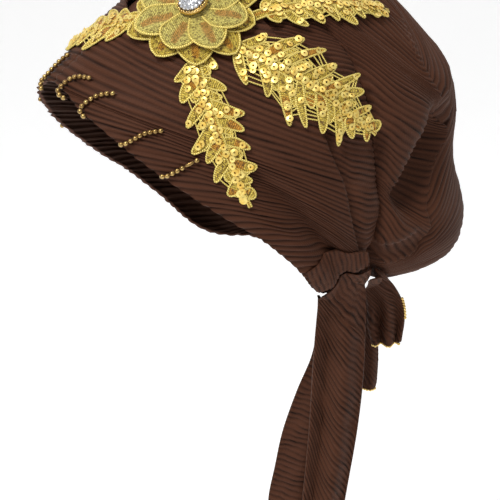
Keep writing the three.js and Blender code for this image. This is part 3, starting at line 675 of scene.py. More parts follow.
# knot
# The band's end, folded over the gathers of the hanging ends behind the left ear: thin where it leaves
# the cloth, full at its fold. Its ribs cross it the short way, as they come off the band's lower edge.
KNOT_OVER = [(76, -35), (82, -32), (88.5, -30), (95, -29), (101, -29.5)]
KNOT_FOLD = [(84.8, -46.1), (90.5, -45.2), (94.8, -41.2), (98.8, -37.4), (102.2, -33.3)]
KNOT_WALL = dict(share=[0, 0.15, 0.35, 0.55, 0.75, 0.9, 1], wall=[0.7, 1.3, 2.2, 3.1, 3.7, 3.3, 1.2])
KNOT_GAP = 0.9


def clear_of_cloth(points, gap):
    """Keeps points outside the wrapped cloth by a gap, along the line from its centre."""
    offset = points - CENTRE
    radius = np.linalg.norm(offset, axis=-1)
    dirs = offset / radius[..., None]
    round_, down = to_round_down(dirs)
    skip = (down > np.interp(round_, NAPE_EDGE["round"], NAPE_EDGE["down"]) + 3) | (
        round_ < look_up(RIM, "down", "round", down) - 3
    )
    cloth_at = np.maximum(crown_radius(dirs), np.where(round_ < 84, band_radius(dirs), 0)) + gap
    pushed = CENTRE + dirs * np.maximum(radius, cloth_at)[..., None]
    return np.where(skip[..., None], points, pushed)


def knot_cloth(spots):
    """Spots of (share along the knot, share from its thin edge to its fold) to its top and underside."""
    at, share = spots[..., 0], spots[..., 1]
    edges = [spline_rows(from_turn_lift(*np.array(e, float).T), at.reshape(-1) * 4)
             for e in (KNOT_OVER, KNOT_FOLD)]
    over, fold = (e.reshape(at.shape + (3,)) for e in edges)
    dirs = over + (fold - over) * share[..., None]
    dirs = dirs / np.linalg.norm(dirs, axis=-1, keepdims=True)
    level = np.maximum(crown_radius(dirs), band_radius(dirs)) + KNOT_GAP
    full = np.interp(share, KNOT_WALL["share"], KNOT_WALL["wall"]) * np.sin(math.pi * (0.1 + 0.8 * at)) ** 0.5
    return CENTRE + dirs * (level + full)[..., None], dirs, CENTRE + dirs * level[..., None]


knot_guides = [[(at, share, 0) for share in np.linspace(0, 1, 5)] for at in np.linspace(0, 1, 9)]
# knot_valley_shade is painted shade in the knot's rib valleys
knot_top, knot_normals, knot_uv, knot_valley_shade = pleats(
    knot_guides, lambda spots: knot_cloth(spots)[:2], 26, 71, pitch=2.7, depth=0.9, edges=(0.4, 0.4)
)
knot_under = clear_of_cloth(knot_top - knot_normals * 9, KNOT_GAP)
shell_mesh(
    "knot_wrap", [(knot_top, knot_under, knot_uv, knot_valley_shade, True)], [cloth], ["knot"]
)

# hanging ends
# The tie's free ends, gathered at the knot and flaring to their hems. The long one is folded, so its
# ribs slant across the front layer and lie nearly level on the layer behind.
TAIL_YAW = math.radians(60)
TAIL_ACROSS = np.array([math.cos(TAIL_YAW), math.sin(TAIL_YAW), 0])
TAIL_OUT = np.array([math.sin(TAIL_YAW), -math.cos(TAIL_YAW), 0])
TAIL_BOW = 2.2
TAIL_CLOTH_GAP = 1.6
TAILS = {
    # each row: middle x, y, z, half width, ripple depth, tilt
    "tail_long_front": dict(
        wall=2, waves=1.5, depth=1.3, pitch=3.9, drop=44, bend=0.7,
        rows=[
            (70.5, 22, -46.6, 12, 0.5, 7.8), (67, 24.6, -57.5, 12.4, 1, 7.6),
            (63.4, 27.6, -72, 13.6, 1.8, 3.8), (61, 28.6, -89, 14, 2.6, 0),
            (60, 28.5, -105, 14.3, 3, 0), (58, 28.7, -126, 14.2, 3.2, 0), (56, 27.7, -151, 13.6, 3, 0),
            (54, 25.7, -176, 12.8, 3, 0), (52, 23.6, -200, 11.9, 2.8, 0), (51, 21.5, -218, 9.4, 2, 0),
        ],
    ),
    "tail_long_inner": dict(
        wall=2, waves=1, depth=1.0, pitch=3.3, drop=5, bend=1.0,
        rows=[
            (50, 30.5, -72, 6.4, 0.6, 0), (48, 30.5, -88, 7.5, 1, 0), (46, 30.1, -106, 9.2, 1.4, 0),
            (43, 25.1, -127, 11.4, 1.6, 0), (40, 20, -151, 13.1, 1.8, 0), (38, 16.1, -173, 13.1, 1.8, 0),
            (36, 13.2, -194, 13.3, 1.8, 0), (35, 10.6, -210, 9.4, 1.4, 0),
        ],
    ),
    "tail_short": dict(
        wall=1.8, waves=2, depth=0.7, pitch=3.2, drop=30, bend=0.8,
        rows=[
            (63.4, 40, -43, 7.4, 0.2, -3), (60.2, 46.8, -52, 8.9, 0.3, -3),
            (58.6, 54, -62, 10, 0.8, -2), (56.5, 61, -75, 9.6, 2.2, 0),
            (54, 63.6, -87.4, 10, 3.2, 0), (53, 64.7, -101, 7.8, 3.2, 0),
        ],
    ),
    "tail_under": dict(
        wall=1.8, waves=1, depth=0.4, pitch=2.8, drop=16, bend=0.8,
        rows=[
            (48, 54, -68, 3.3, 0.3, 0), (46, 58, -84, 3.7, 0.5, 0), (44, 60, -112, 4.4, 0.8, 0),
            (43, 60, -131, 4.2, 0.8, 0),
        ],
    ),
}


def tail_sheet(tail, spots):
    """Spots of (share across from -1 to 1, height z in mm) to points in the middle of the cloth."""
    table = np.array(tail["rows"], float)
    heights = table[:, 2]
    fine = np.linspace(0, len(table) - 1, 160)
    smooth_rows = spline_rows(table, fine)
    values = [
        np.interp(-spots[..., 1], -smooth_rows[:, 2], smooth_rows[:, k]) for k in (0, 1, 3, 4, 5)
    ]
    x, y, half, ripple, tilt = values
    z = np.clip(spots[..., 1], heights[-1], heights[0])
    share = spots[..., 0]
    wave = np.sin(share * math.pi * tail["waves"] + 0.6)
    points = np.stack([x, y, z], -1)
    points = points + TAIL_ACROSS * (share * half)[..., None]
    points = points + TAIL_OUT * (wave * ripple - TAIL_BOW * share ** 2)[..., None]
    points[..., 2] += tilt * share
    return clear_of_cloth(points, tail["wall"] + TAIL_CLOTH_GAP)


def tail_surface(tail):
    def surface(spots):
        points = tail_sheet(tail, spots)
        nudge = 0.02
        beside = tail_sheet(tail, spots + np.array([nudge, 0, 0])) - tail_sheet(
            tail, spots - np.array([nudge, 0, 0])
        )
        normals = np.cross(beside, np.array([0, 0, -1.0]))
        normals = normals / np.maximum(np.linalg.norm(normals, axis=-1, keepdims=True), 1e-6)
        normals = np.where((normals @ TAIL_OUT)[..., None] < 0, -normals, normals)
        return points + normals * (tail["wall"] / 2 - 0.2), normals
    return surface


def tail_guides(tail):
    """Ribs that start on the near edge or along the top and slant down to the far edge or the hem."""
    top, hem = tail["rows"][0][2], tail["rows"][-1][2]
    width = 2 * tail["rows"][3][3]
    guides = []
    t = np.linspace(0, 1, 6)
    # starts go along the top from the far corner to the near one, then down the near edge
    count = 16
    reach = width + (top - hem)
    for at in np.sort(np.append(np.linspace(0, reach, count), width)):
        if at < width:
            start = (1 - 2 * at / width, top)
        else:
            start = (-1.0, top - (at - width))
        full = (1 - start[0]) / 2
        end_z = start[1] - tail["drop"] * full ** 0.9 - (3 if at < width else 0)
        share = start[0] + (1 - start[0]) * t
        z = start[1] + (end_z - start[1]) * t ** tail["bend"]
        if z[-1] < hem:
            cut = np.interp(hem, z[::-1], t[::-1])
            tt = t * cut
            share = start[0] + (1 - start[0]) * tt
            z = start[1] + (end_z - start[1]) * tt ** tail["bend"]
        guides.append(np.stack([share, z, 0 * z], -1))
    return guides


for name, tail in TAILS.items():
    patch = pleats(
        tail_guides(tail), tail_surface(tail), 30, 90 + len(name), pitch=tail["pitch"],
        depth=tail["depth"], ends=(0.02, 0.03),
    )
    cloth_mesh(
        name + "_cloth", [(*patch, False)], [cloth], [name], wall=tail["wall"] - 0.4,
    )

# lace fronds
# Gold lace, taken as machine-made and sewn on: each frond is a midrib with slanting fingers of padded
# satin stitch in gold and amber thread, edged with a twisted cord, joined by a net of bars and set
# with sequins.
LACE_GAP = 1.0
LACE_WALL = 1.1
PACE = 112.0
FINGER_HALF = 3.6
FINGER_PAD, FILLER_PAD = 0.75, 0.3
# how far a finger runs ahead for each millimetre outwards, and so its length for each millimetre
FINGER_LEAN = 0.75
FINGER_SLANT = 1.25
# the thread stops just inside the edging cord
LACE_INSET = 0.94
MIDRIB_HALF = 1.5
# the midrib runs a little past both ends
MIDRIB_SPAN = (-0.04, 1.04)
FINGER_STEP, MIDRIB_STEP = 2.9, 4.2
SEQUIN_SHARE = 0.36
NET_STEP_BACK = 4.6
CORD_TURNS_PER_M = 900.0
FRONDS = {
    "frond_front": dict(start=(16.5, 43), end=(-15, 28.5), width=13, fingers=6, seed=0.3),
    "frond_side": dict(start=(35, 36), end=(55, -6), width=15, fingers=8, seed=1.1),
    "frond_side_back": dict(start=(47, 41), end=(98, 13), width=25, fingers=8, seed=2.2),
    "frond_back": dict(start=(58, 51), end=(128, 47.5), width=13, fingers=8, seed=3.4),
    "frond_top": dict(start=(12, 61), end=(-76, 62), width=13, fingers=6, seed=4.2),
}


def thread_material(name, base, accent, dark, stitch, fleck):
    """Gold thread: stitch rows across the pad with painted shade between, darker gaps and dyed accents."""
    mat, tree, shader = material(name)
    uv = node(tree, "ShaderNodeUVMap", uv_map="cloth")
    dyed = node(tree, "ShaderNodeAttribute", attribute_name="valley")
    coord = node(tree, "ShaderNodeTexCoord")
    rows = node(tree, "ShaderNodeTexWave", wave_type="BANDS", bands_direction="X", Scale=stitch,
                Distortion=3.0, Detail=2.0, Detail_Scale=3.0, Detail_Roughness=0.6)
    tree.links.new(uv.outputs["UV"], rows.inputs["Vector"])
    knots = node(tree, "ShaderNodeTexVoronoi", Scale=fleck)
    tree.links.new(coord.outputs["Object"], knots.inputs["Vector"])
    gaps = node(tree, "ShaderNodeTexNoise", Scale=fleck * 0.8, Detail=2.0)
    tree.links.new(coord.outputs["Object"], gaps.inputs["Vector"])
    colour = mixed(tree, dyed.outputs["Fac"], base, accent)
    # painted shade: the grooves between the stitch rows are darkened; the gaps are darker patches at random
    for source, low, high, least in (
        (rows.outputs["Fac"], 0.1, 0.5, 0.35), (gaps.outputs["Fac"], 0.36, 0.52, 0.1)
    ):
        level = node(tree, "ShaderNodeMapRange", From_Min=low, From_Max=high, To_Min=least, To_Max=1.0)
        tree.links.new(source, level.inputs["Value"])
        colour = mixed(tree, level.outputs["Result"], dark, colour)
    tree.links.new(colour, shader.inputs["Base Color"])
    height = node(tree, "ShaderNodeMath", operation="SUBTRACT")
    tree.links.new(rows.outputs["Fac"], height.inputs[0])
    tree.links.new(knots.outputs["Distance"], height.inputs[1])
    bumped(tree, shader, height.outputs[0], strength=0.9, distance=0.0006)
    shader.inputs["Metallic"].default_value = 0.2
    shader.inputs["Roughness"].default_value = 0.42
    return mat


def metal_material(name, base, dark, roughness, metallic=1.0, scale=700.0):
    """Bright metal or metallic foil with tarnish in patches, which are rougher."""
    mat, tree, shader = material(name)
    coord = node(tree, "ShaderNodeTexCoord")
    patch = node(tree, "ShaderNodeTexNoise", Scale=scale, Detail=3.0)
    tree.links.new(coord.outputs["Object"], patch.inputs["Vector"])
    level = node(tree, "ShaderNodeMapRange", From_Min=0.35, From_Max=0.6)
    tree.links.new(patch.outputs["Fac"], level.inputs["Value"])
    tree.links.new(mixed(tree, level.outputs["Result"], dark, base), shader.inputs["Base Color"])
    wear = node(tree, "ShaderNodeMapRange", To_Min=roughness * 1.7, To_Max=roughness)
    tree.links.new(patch.outputs["Fac"], wear.inputs["Value"])
    tree.links.new(wear.outputs["Result"], shader.inputs["Roughness"])
    bumped(tree, shader, patch.outputs["Fac"], strength=0.15, distance=0.0002)
    shader.inputs["Metallic"].default_value = metallic
    return mat


def cord_material(name, base, dark, metallic, roughness=0.4):
    """Twisted thread: the strands run round the cord as it goes along, with painted shade between them."""
    mat, tree, shader = material(name)
    along = node(tree, "ShaderNodeAttribute", attribute_name="along")
    around = node(tree, "ShaderNodeAttribute", attribute_name="around")
    length = node(tree, "ShaderNodeMath", operation="MULTIPLY")
    length.inputs[1].default_value = CORD_TURNS_PER_M
    tree.links.new(along.outputs["Fac"], length.inputs[0])
    total = node(tree, "ShaderNodeMath", operation="ADD")
    tree.links.new(length.outputs[0], total.inputs[0])
    tree.links.new(around.outputs["Fac"], total.inputs[1])
    turn = node(tree, "ShaderNodeMath", operation="MULTIPLY")
    turn.inputs[1].default_value = 2 * math.pi
    tree.links.new(total.outputs[0], turn.inputs[0])
    strand = node(tree, "ShaderNodeMath", operation="SINE")
    tree.links.new(turn.outputs[0], strand.inputs[0])
    level = node(tree, "ShaderNodeMapRange", From_Min=-1.0, From_Max=0.4)
    tree.links.new(strand.outputs[0], level.inputs["Value"])
    # painted shade: the colour darkens in the grooves between the strands, where the bump is lowest
    tree.links.new(mixed(tree, level.outputs["Result"], dark, base), shader.inputs["Base Color"])
    bumped(tree, shader, level.outputs["Result"], strength=0.6, distance=0.0002)
    shader.inputs["Metallic"].default_value = metallic
    shader.inputs["Roughness"].default_value = roughness
    return mat


gold_thread = thread_material(
    "gold_lace", (0.88, 0.66, 0.10), (0.70, 0.27, 0.02), (0.14, 0.065, 0.010), 300.0, 900.0
)
pale_thread = thread_material(
    "gold_lace_pale", (0.84, 0.72, 0.19), (0.60, 0.24, 0.05), (0.24, 0.17, 0.035), 260.0, 1100.0
)
gold_cord = cord_material("gold_cord", (0.92, 0.76, 0.20), (0.42, 0.27, 0.05), metallic=0.2)
sequin_foil = metal_material(
    "sequin_foil", (0.98, 0.78, 0.24), (0.85, 0.55, 0.10), roughness=0.3, metallic=0.55, scale=300.0
)


def lace_bed(dirs):
    """Level the lace lies on: over the band, then over the highest puffs of the crown."""
    round_, down = to_round_down(dirs)
    edge = look_up(BAND_EDGE, "down", "round", down)
    lift = 2.6 + 1.7 * smooth(edge - 9, edge + 1, round_)
    band = np.where(round_ < edge + 2, band_radius(dirs), 0)
    return np.maximum(np.maximum(wrap_radius(dirs) + lift, crown_radius(dirs)), band)


def on_lace(dirs, height):
    dirs = dirs / np.linalg.norm(dirs, axis=-1, keepdims=True)
    return CENTRE + dirs * (lace_bed(dirs) + height)[..., None]


def nodes_tree(name, numbers):
    """An empty Geometry Nodes tree with named inputs, and its input node."""
    tree = bpy.data.node_groups.new(name, "GeometryNodeTree")
    tree.interface.new_socket("Geometry", in_out="INPUT", socket_type="NodeSocketGeometry")
    for label in numbers:
        tree.interface.new_socket(label, in_out="INPUT", socket_type="NodeSocketFloat")
    tree.interface.new_socket("Material", in_out="INPUT", socket_type="NodeSocketMaterial")
    tree.interface.new_socket("Geometry", in_out="OUTPUT", socket_type="NodeSocketGeometry")
    return tree, tree.nodes.new("NodeGroupInput")


def end_tree(tree, given, geometry, smooth_shade=True):
    """Realize Instances, shading and Set Material close every tree."""
    real = tree.nodes.new("GeometryNodeRealizeInstances")
    shade = tree.nodes.new("GeometryNodeSetShadeSmooth")
    shade.inputs["Shade Smooth"].default_value = smooth_shade
    paint = tree.nodes.new("GeometryNodeSetMaterial")
    out = tree.nodes.new("NodeGroupOutput")
    tree.links.new(geometry, real.inputs[0])
    tree.links.new(real.outputs[0], shade.inputs[0])
    tree.links.new(shade.outputs[0], paint.inputs[0])
    tree.links.new(given.outputs["Material"], paint.inputs["Material"])
    tree.links.new(paint.outputs[0], out.inputs[0])


def read_attribute(tree, name):
    read = node(tree, "GeometryNodeInputNamedAttribute", data_type="FLOAT_VECTOR")
    read.inputs["Name"].default_value = name
    return next(o for o in read.outputs if o.enabled and o.name == "Attribute")


def scatter_tree(name, numbers, make_one, smooth_shade=True):
    """Sets one small solid, turned to each point's facing and sized by its size, on every point."""
    tree, given = nodes_tree(name, numbers)
    points = tree.nodes.new("GeometryNodeMeshToPoints")
    tree.links.new(given.outputs["Geometry"], points.inputs[0])
    place = tree.nodes.new("GeometryNodeInstanceOnPoints")
    tree.links.new(points.outputs[0], place.inputs["Points"])
    tree.links.new(make_one(tree, given), place.inputs["Instance"])
    aim = node(tree, "FunctionNodeAlignRotationToVector", axis="Z")
    tree.links.new(read_attribute(tree, "facing"), aim.inputs["Vector"])
    tree.links.new(aim.outputs["Rotation"], place.inputs["Rotation"])
    tree.links.new(read_attribute(tree, "size"), place.inputs["Scale"])
    end_tree(tree, given, place.outputs[0], smooth_shade)
    return tree


FOIL_THICK = 0.00012


def sequin(tree, given):
    cup = node(tree, "GeometryNodeMeshCone", fill_type="NONE")
    cup.inputs["Vertices"].default_value = 14
    tree.links.new(given.outputs["Hole"], cup.inputs["Radius Top"])
    tree.links.new(given.outputs["Radius"], cup.inputs["Radius Bottom"])
    tree.links.new(given.outputs["Cup"], cup.inputs["Depth"])
    # the foil's back, its front raised by the thickness, and both rims, merged into one closed body
    raised = node(tree, "GeometryNodeExtrudeMesh", mode="FACES")
    raised.inputs["Offset Scale"].default_value = FOIL_THICK
    raised.inputs["Individual"].default_value = False
    back = tree.nodes.new("GeometryNodeFlipFaces")
    both = tree.nodes.new("GeometryNodeJoinGeometry")
    closed = tree.nodes.new("GeometryNodeMergeByDistance")
    closed.inputs["Distance"].default_value = FOIL_THICK / 20
    tree.links.new(cup.outputs["Mesh"], raised.inputs["Mesh"])
    tree.links.new(cup.outputs["Mesh"], back.inputs["Mesh"])
    tree.links.new(raised.outputs["Mesh"], both.inputs["Geometry"])
    tree.links.new(back.outputs["Mesh"], both.inputs["Geometry"])
    tree.links.new(both.outputs["Geometry"], closed.inputs["Geometry"])
    return closed.outputs["Geometry"]


def bead(tree, given):
    ball = tree.nodes.new("GeometryNodeMeshUVSphere")
    ball.inputs["Segments"].default_value = 16
    ball.inputs["Rings"].default_value = 10
    tree.links.new(given.outputs["Radius"], ball.inputs["Radius"])
    return ball.outputs["Mesh"]


def cut_stone(tree, given):
    gem = tree.nodes.new("GeometryNodeMeshIcoSphere")
    gem.inputs["Subdivisions"].default_value = 2
    tree.links.new(given.outputs["Radius"], gem.inputs["Radius"])
    return gem.outputs["Mesh"]


def cord_tree():
    """A round cord along the edges of a mesh, with its length and turn kept for the twist."""
    tree, given = nodes_tree("cord_along_edges", ["Radius", "Sides"])
    line = tree.nodes.new("GeometryNodeMeshToCurve")
    tree.links.new(given.outputs["Geometry"], line.inputs[0])
    ring = node(tree, "GeometryNodeCurvePrimitiveCircle")
    tree.links.new(given.outputs["Sides"], ring.inputs["Resolution"])
    tree.links.new(given.outputs["Radius"], ring.inputs["Radius"])
    ends = []
    for curve, label, reading in ((line, "along", "Length"), (ring, "around", "Factor")):
        where = tree.nodes.new("GeometryNodeSplineParameter")
        keep = node(tree, "GeometryNodeStoreNamedAttribute", data_type="FLOAT", domain="POINT")
        keep.inputs["Name"].default_value = label
        tree.links.new(curve.outputs[0], keep.inputs["Geometry"])
        value = next(i for i in keep.inputs if i.enabled and i.name == "Value")
        tree.links.new(where.outputs[reading], value)
        ends.append(keep.outputs[0])
    sweep = tree.nodes.new("GeometryNodeCurveToMesh")
    sweep.inputs["Fill Caps"].default_value = True
    tree.links.new(ends[0], sweep.inputs["Curve"])
    tree.links.new(ends[1], sweep.inputs["Profile Curve"])
    end_tree(tree, given, sweep.outputs[0])
    return tree


sequin_tree = scatter_tree("sequins_at_points", ["Radius", "Hole", "Cup"], sequin, smooth_shade=False)
bead_tree = scatter_tree("beads_at_points", ["Radius"], bead)
stone_tree = scatter_tree("stones_at_points", ["Radius"], cut_stone, smooth_shade=False)
cords = cord_tree()


def grow(name, tree, points, values, mat, edges=(), facing=None, size=None, node_names=()):
    """Runs a tree on points (mm) and keeps the result as a plain mesh that rides on the turban."""
    seed_mesh = bpy.data.meshes.new(name + "_seed")
    seed_mesh.from_pydata((np.asarray(points) / 1000).tolist(), [tuple(e) for e in edges], [])
    for label, column in (("facing", facing), ("size", size)):
        if column is not None:
            kept = seed_mesh.attributes.new(label, "FLOAT_VECTOR", "POINT")
            kept.data.foreach_set("vector", np.asarray(column, np.float32).reshape(-1))
    seed_obj = bpy.data.objects.new(name + "_seed", seed_mesh)
    bpy.context.scene.collection.objects.link(seed_obj)
    maker = seed_obj.modifiers.new("grow", "NODES")
    maker.node_group = tree
    given = dict(values, Material=mat)
    for item in tree.interface.items_tree:
        if item.in_out == "INPUT" and item.name in given:
            maker[item.identifier] = given[item.name]
    bpy.context.view_layer.update()
    evaluated = seed_obj.evaluated_get(bpy.context.evaluated_depsgraph_get())
    mesh = bpy.data.meshes.new_from_object(evaluated)
    mesh.name = name
    bpy.data.objects.remove(seed_obj)
    bpy.data.meshes.remove(seed_mesh)
    made = bpy.data.objects.new(name, mesh)
    bpy.context.scene.collection.objects.link(made)
    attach(made, "root")
    if node_names:
        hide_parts(*node_names)


def polyline_edges(lines):
    """Joins many polylines into one list of points and one of edges."""
    points, edges = [], []
    for line in lines:
        base = len(points)
        points.extend(line)
        edges.extend((base + i, base + i + 1) for i in range(len(line) - 1))
    return np.array(points), edges


def unit(v):
    return v / np.linalg.norm(v, axis=-1, keepdims=True)


def frond_axes(frond, t):
    """Direction, way ahead and way aside at a share of the frond's midrib."""
    first = from_turn_lift(np.array(frond["start"][0]), np.array(frond["start"][1]))
    last = from_turn_lift(np.array(frond["end"][0]), np.array(frond["end"][1]))
    span = math.acos(float(first @ last))

    def slide(share):
        share = np.asarray(share, float)[..., None]
        return unit(first * np.sin((1 - share) * span) / math.sin(span)
                    + last * np.sin(share * span) / math.sin(span))
    here = slide(t)
    ahead = unit(slide(np.asarray(t) + 0.01) - here)
    return here, ahead, unit(np.cross(here, ahead)), span


def finger_shape(u):
    """Half width along a finger: narrow at the midrib, full, then a round tip."""
    root = 0.6 + 0.4 * smooth(0, 0.35, u)
    taper = 1 - 0.45 * smooth(0.5, 1, u)
    return root * taper * np.sqrt(np.clip(1 - np.clip((u - 0.8) / 0.2, 0, 1) ** 2, 0, 1))


def finger_spot(finger, u, s):
    """Direction at a share along a finger and across it, from -1 to 1."""
    here, ahead, aside, side, long, bend, half = finger
    outward = side * long * u
    forward = FINGER_LEAN * long * u + bend * np.sin(math.pi * u)
    d_out, d_fwd = side * long + 0 * u, FINGER_LEAN * long + bend * math.pi * np.cos(math.pi * u)
    norm = np.hypot(d_out, d_fwd)
    wide = s * half * finger_shape(u)
    a = outward - wide * d_fwd / norm
    b = forward + wide * d_out / norm
    return unit(here + aside * (a / PACE)[..., None] + ahead * (b / PACE)[..., None])


def frond_fingers(frond, between=False):
    """The fingers each side of the midrib, or the short ones between them that fill their roots."""
    count = frond["fingers"]
    fingers = []
    for f in np.arange(0, count - 0.5, 0.5 if between else 1):
        if between and f % 1 == 0:
            continue
        t = (3 * f + 1) / (3 * count - 1)
        here, ahead, aside, _ = frond_axes(frond, t)
        swell = math.sin(math.pi * (0.14 + 0.86 * t) ** 0.9)
        for side in (-1, 1):
            vary = 1 + 0.16 * math.sin(frond["seed"] * 7 + f * 2.3 + (1.7 if side > 0 else 0))
            vary *= 0.55 if between else 1
            long = max(3.5, frond["width"] * (0.2 + 0.8 * swell) * vary)
            bend = 2.3 * math.sin(frond["seed"] * 3 + f * 1.9 + side)
            half = FINGER_HALF * (0.8 + 0.2 * math.sin(frond["seed"] * 5 + f * 2.9 + side * 1.3))
            fingers.append((here, ahead, aside, side, long, bend, half))
    return fingers


def midrib_width(t):
    """Half width of the midrib along its length, in mm."""
    return (MIDRIB_HALF + 1.5) * np.clip(1.06 - t, 0.25, 0.8)


def padded_patch(spots, thick, uv, dyed):
    return on_lace(spots, LACE_GAP + thick), on_lace(spots, LACE_GAP + 0 * thick), uv, dyed


FINGER_U = np.array([0, 0.08, 0.18, 0.3, 0.42, 0.54, 0.65, 0.75, 0.84, 0.91, 0.96, 0.99, 1.0])
FINGER_S = np.array([-1, -0.72, -0.25, 0.25, 0.72, 1.0])
lace_rng = np.random.default_rng(7)
edge_lines, net_lines, sequin_spots, sequin_aims = [], [], [], []
for frond_name, frond in FRONDS.items():
    pads = []
    fingers = frond_fingers(frond)
    fillers = frond_fingers(frond, between=True)
    for finger in fingers + fillers:
        side, long, half = finger[3], finger[4], finger[6]
        full = FINGER_PAD if len(pads) < len(fingers) else FILLER_PAD
        u, s_ = np.meshgrid(FINGER_U, FINGER_S, indexing="ij")
        spots = finger_spot(finger, u, s_ * LACE_INSET)
        crest = np.sqrt(np.clip(1 - s_ ** 2, 0, 1)) * (0.35 + 0.65 * finger_shape(u))
        amber = lace_rng.uniform(0, 1)
        lo, hi = (0.05, 0.5) if amber > 0.6 else (0.45, 0.95) if amber > 0.35 else (2, 3)
        dyed = ((u > lo) & (u < hi) & (np.abs(s_) < 0.8)) * 0.85
        uv = np.stack([u * long * FINGER_SLANT, s_ * half], -1) / 1000
        pads.append((*padded_patch(spots, 0.3 + full * crest, uv, dyed), side > 0))
        loop_u = np.concatenate([FINGER_U, FINGER_U[-2::-1]])
        loop_s = np.concatenate([np.ones(len(FINGER_U)), -np.ones(len(FINGER_U) - 1)])
        edge_lines.append(on_lace(finger_spot(finger, loop_u, loop_s), LACE_GAP + 0.2 + 0.45 * full))
        for at in np.arange(0.2, 0.95, FINGER_STEP / max(long * FINGER_SLANT, 8)):
            if lace_rng.uniform() < SEQUIN_SHARE:
                where = finger_spot(finger, np.array(at + lace_rng.uniform(-0.03, 0.03)),
                                    np.array(lace_rng.uniform(-0.3, 0.3)))
                sequin_spots.append(on_lace(where, LACE_GAP + 1.35))
                sequin_aims.append(unit(where + lace_rng.normal(0, 0.16, 3)))
    # midrib
    t, s_ = np.meshgrid(np.linspace(*MIDRIB_SPAN, 34), np.array([-1, -0.6, 0, 0.6, 1.0]), indexing="ij")
    here, ahead, aside, span = frond_axes(frond, t)
    wide = midrib_width(t)
    spots = unit(here + aside * (s_ * wide / PACE)[..., None])
    uv = np.stack([t * span * PACE, s_ * wide], -1) / 1000
    crest = 0.35 + 1.0 * np.sqrt(1 - s_ ** 2)
    pads.append((*padded_patch(spots, crest, uv, 0.9 * (np.abs(s_) < 0.4)), False))
    for side in (-1, 1):
        edge_lines.append(on_lace(spots[:, 0 if side < 0 else -1], LACE_GAP + 0.7))
    for at in np.linspace(0.08, 0.96, int(span * PACE / MIDRIB_STEP)):
        here, _, aside, _ = frond_axes(frond, at)
        where = unit(here + aside * lace_rng.uniform(-1.8, 1.8) / PACE)
        sequin_spots.append(on_lace(where, LACE_GAP + 1.65))
        sequin_aims.append(unit(where + lace_rng.normal(0, 0.14, 3)))
    # net between neighbouring fingers on each side
    for i in range(len(fingers) - 2):
        one, two = fingers[i], fingers[i + 2]
        side = one[3]
        # the bars cross the gap squarely, so they land nearer the next finger's root
        run = one[4] * FINGER_SLANT
        for at in np.arange(0.26, 0.9, FINGER_STEP / max(run, 8)):
            ends = lace_rng.uniform(-0.03, 0.03, 2) + (at, max(at - NET_STEP_BACK / run, 0.03))
            a = finger_spot(one, np.array(ends[0]), np.array(0.9 * side))
            b = finger_spot(two, np.array(ends[1]), np.array(-0.9 * side))
            net_lines.append([on_lace(unit(a + (b - a) * m), LACE_GAP + 0.5) for m in (0, 0.33, 0.67, 1.0)])
    shell_mesh(frond_name + "_lace", pads, [gold_thread], [frond_name])

for name, lines, radius, sides in (
    ("frond_edge_cords", edge_lines, 0.55, 6), ("frond_net", net_lines, 0.4, 5)
):
    points, edges = polyline_edges(lines)
    grow(name, cords, points, dict(Radius=radius / 1000, Sides=float(sides)), gold_cord, edges)
sequin_sizes = np.repeat(lace_rng.uniform(0.85, 1.05, len(sequin_spots))[:, None], 3, 1)
grow(
    "frond_sequins", sequin_tree, sequin_spots, dict(Radius=0.0019, Hole=0.00055, Cup=0.0002), sequin_foil,
    facing=sequin_aims, size=sequin_sizes,
)

# flower petals
# Two layers of padded satin-stitch petals over the roots of the fronds: ten wide ones below and eight
# above, each edged with cord and marked with a line of copper-coloured thread. Each overlaps the next.
flower_dir = from_turn_lift(np.array(31.0), np.array(49.0))
flower_up = unit(POLE - flower_dir * (POLE @ flower_dir))
flower_side = np.cross(flower_up, flower_dir)
PETAL_WALL = 0.4
PETAL_LAYERS = {
    # name: petals, inner and outer reach, half width, twist, extra height, tip lift, thread
    "petals_lower": (10, 6, 34, 9.6, 0.2, 0.0, 0.0, gold_thread),
    "petals_upper": (8, 5, 28.8, 9.4, 0.5, LACE_WALL + 1.8, 1.0, pale_thread),
}


def flower_spot(reach, aside, bearing):
    """Direction at a distance out along a bearing of the flower and aside from it, in mm."""
    a = reach * math.cos(bearing) - aside * math.sin(bearing)
    b = reach * math.sin(bearing) + aside * math.cos(bearing)
    distance = np.hypot(a, b) / PACE
    heading = np.arctan2(b, a)
    return unit(
        flower_dir * np.cos(distance)[..., None]
        + flower_up * (np.sin(distance) * np.cos(heading))[..., None]
        + flower_side * (np.sin(distance) * np.sin(heading))[..., None]
    )


def petal_shape(t):
    """Share of a petal's full half width at a share of its length."""
    return np.sin(math.pi * (0.13 + 0.87 * t) ** 1.25) ** 0.6


def petal_height(reach, aside, raised):
    """Height of a flat petal over the lace's bed: the roots of the fronds lift it from 14 mm outwards."""
    return LACE_GAP + 2.3 * smooth(14, 22, np.hypot(reach, aside)) + raised


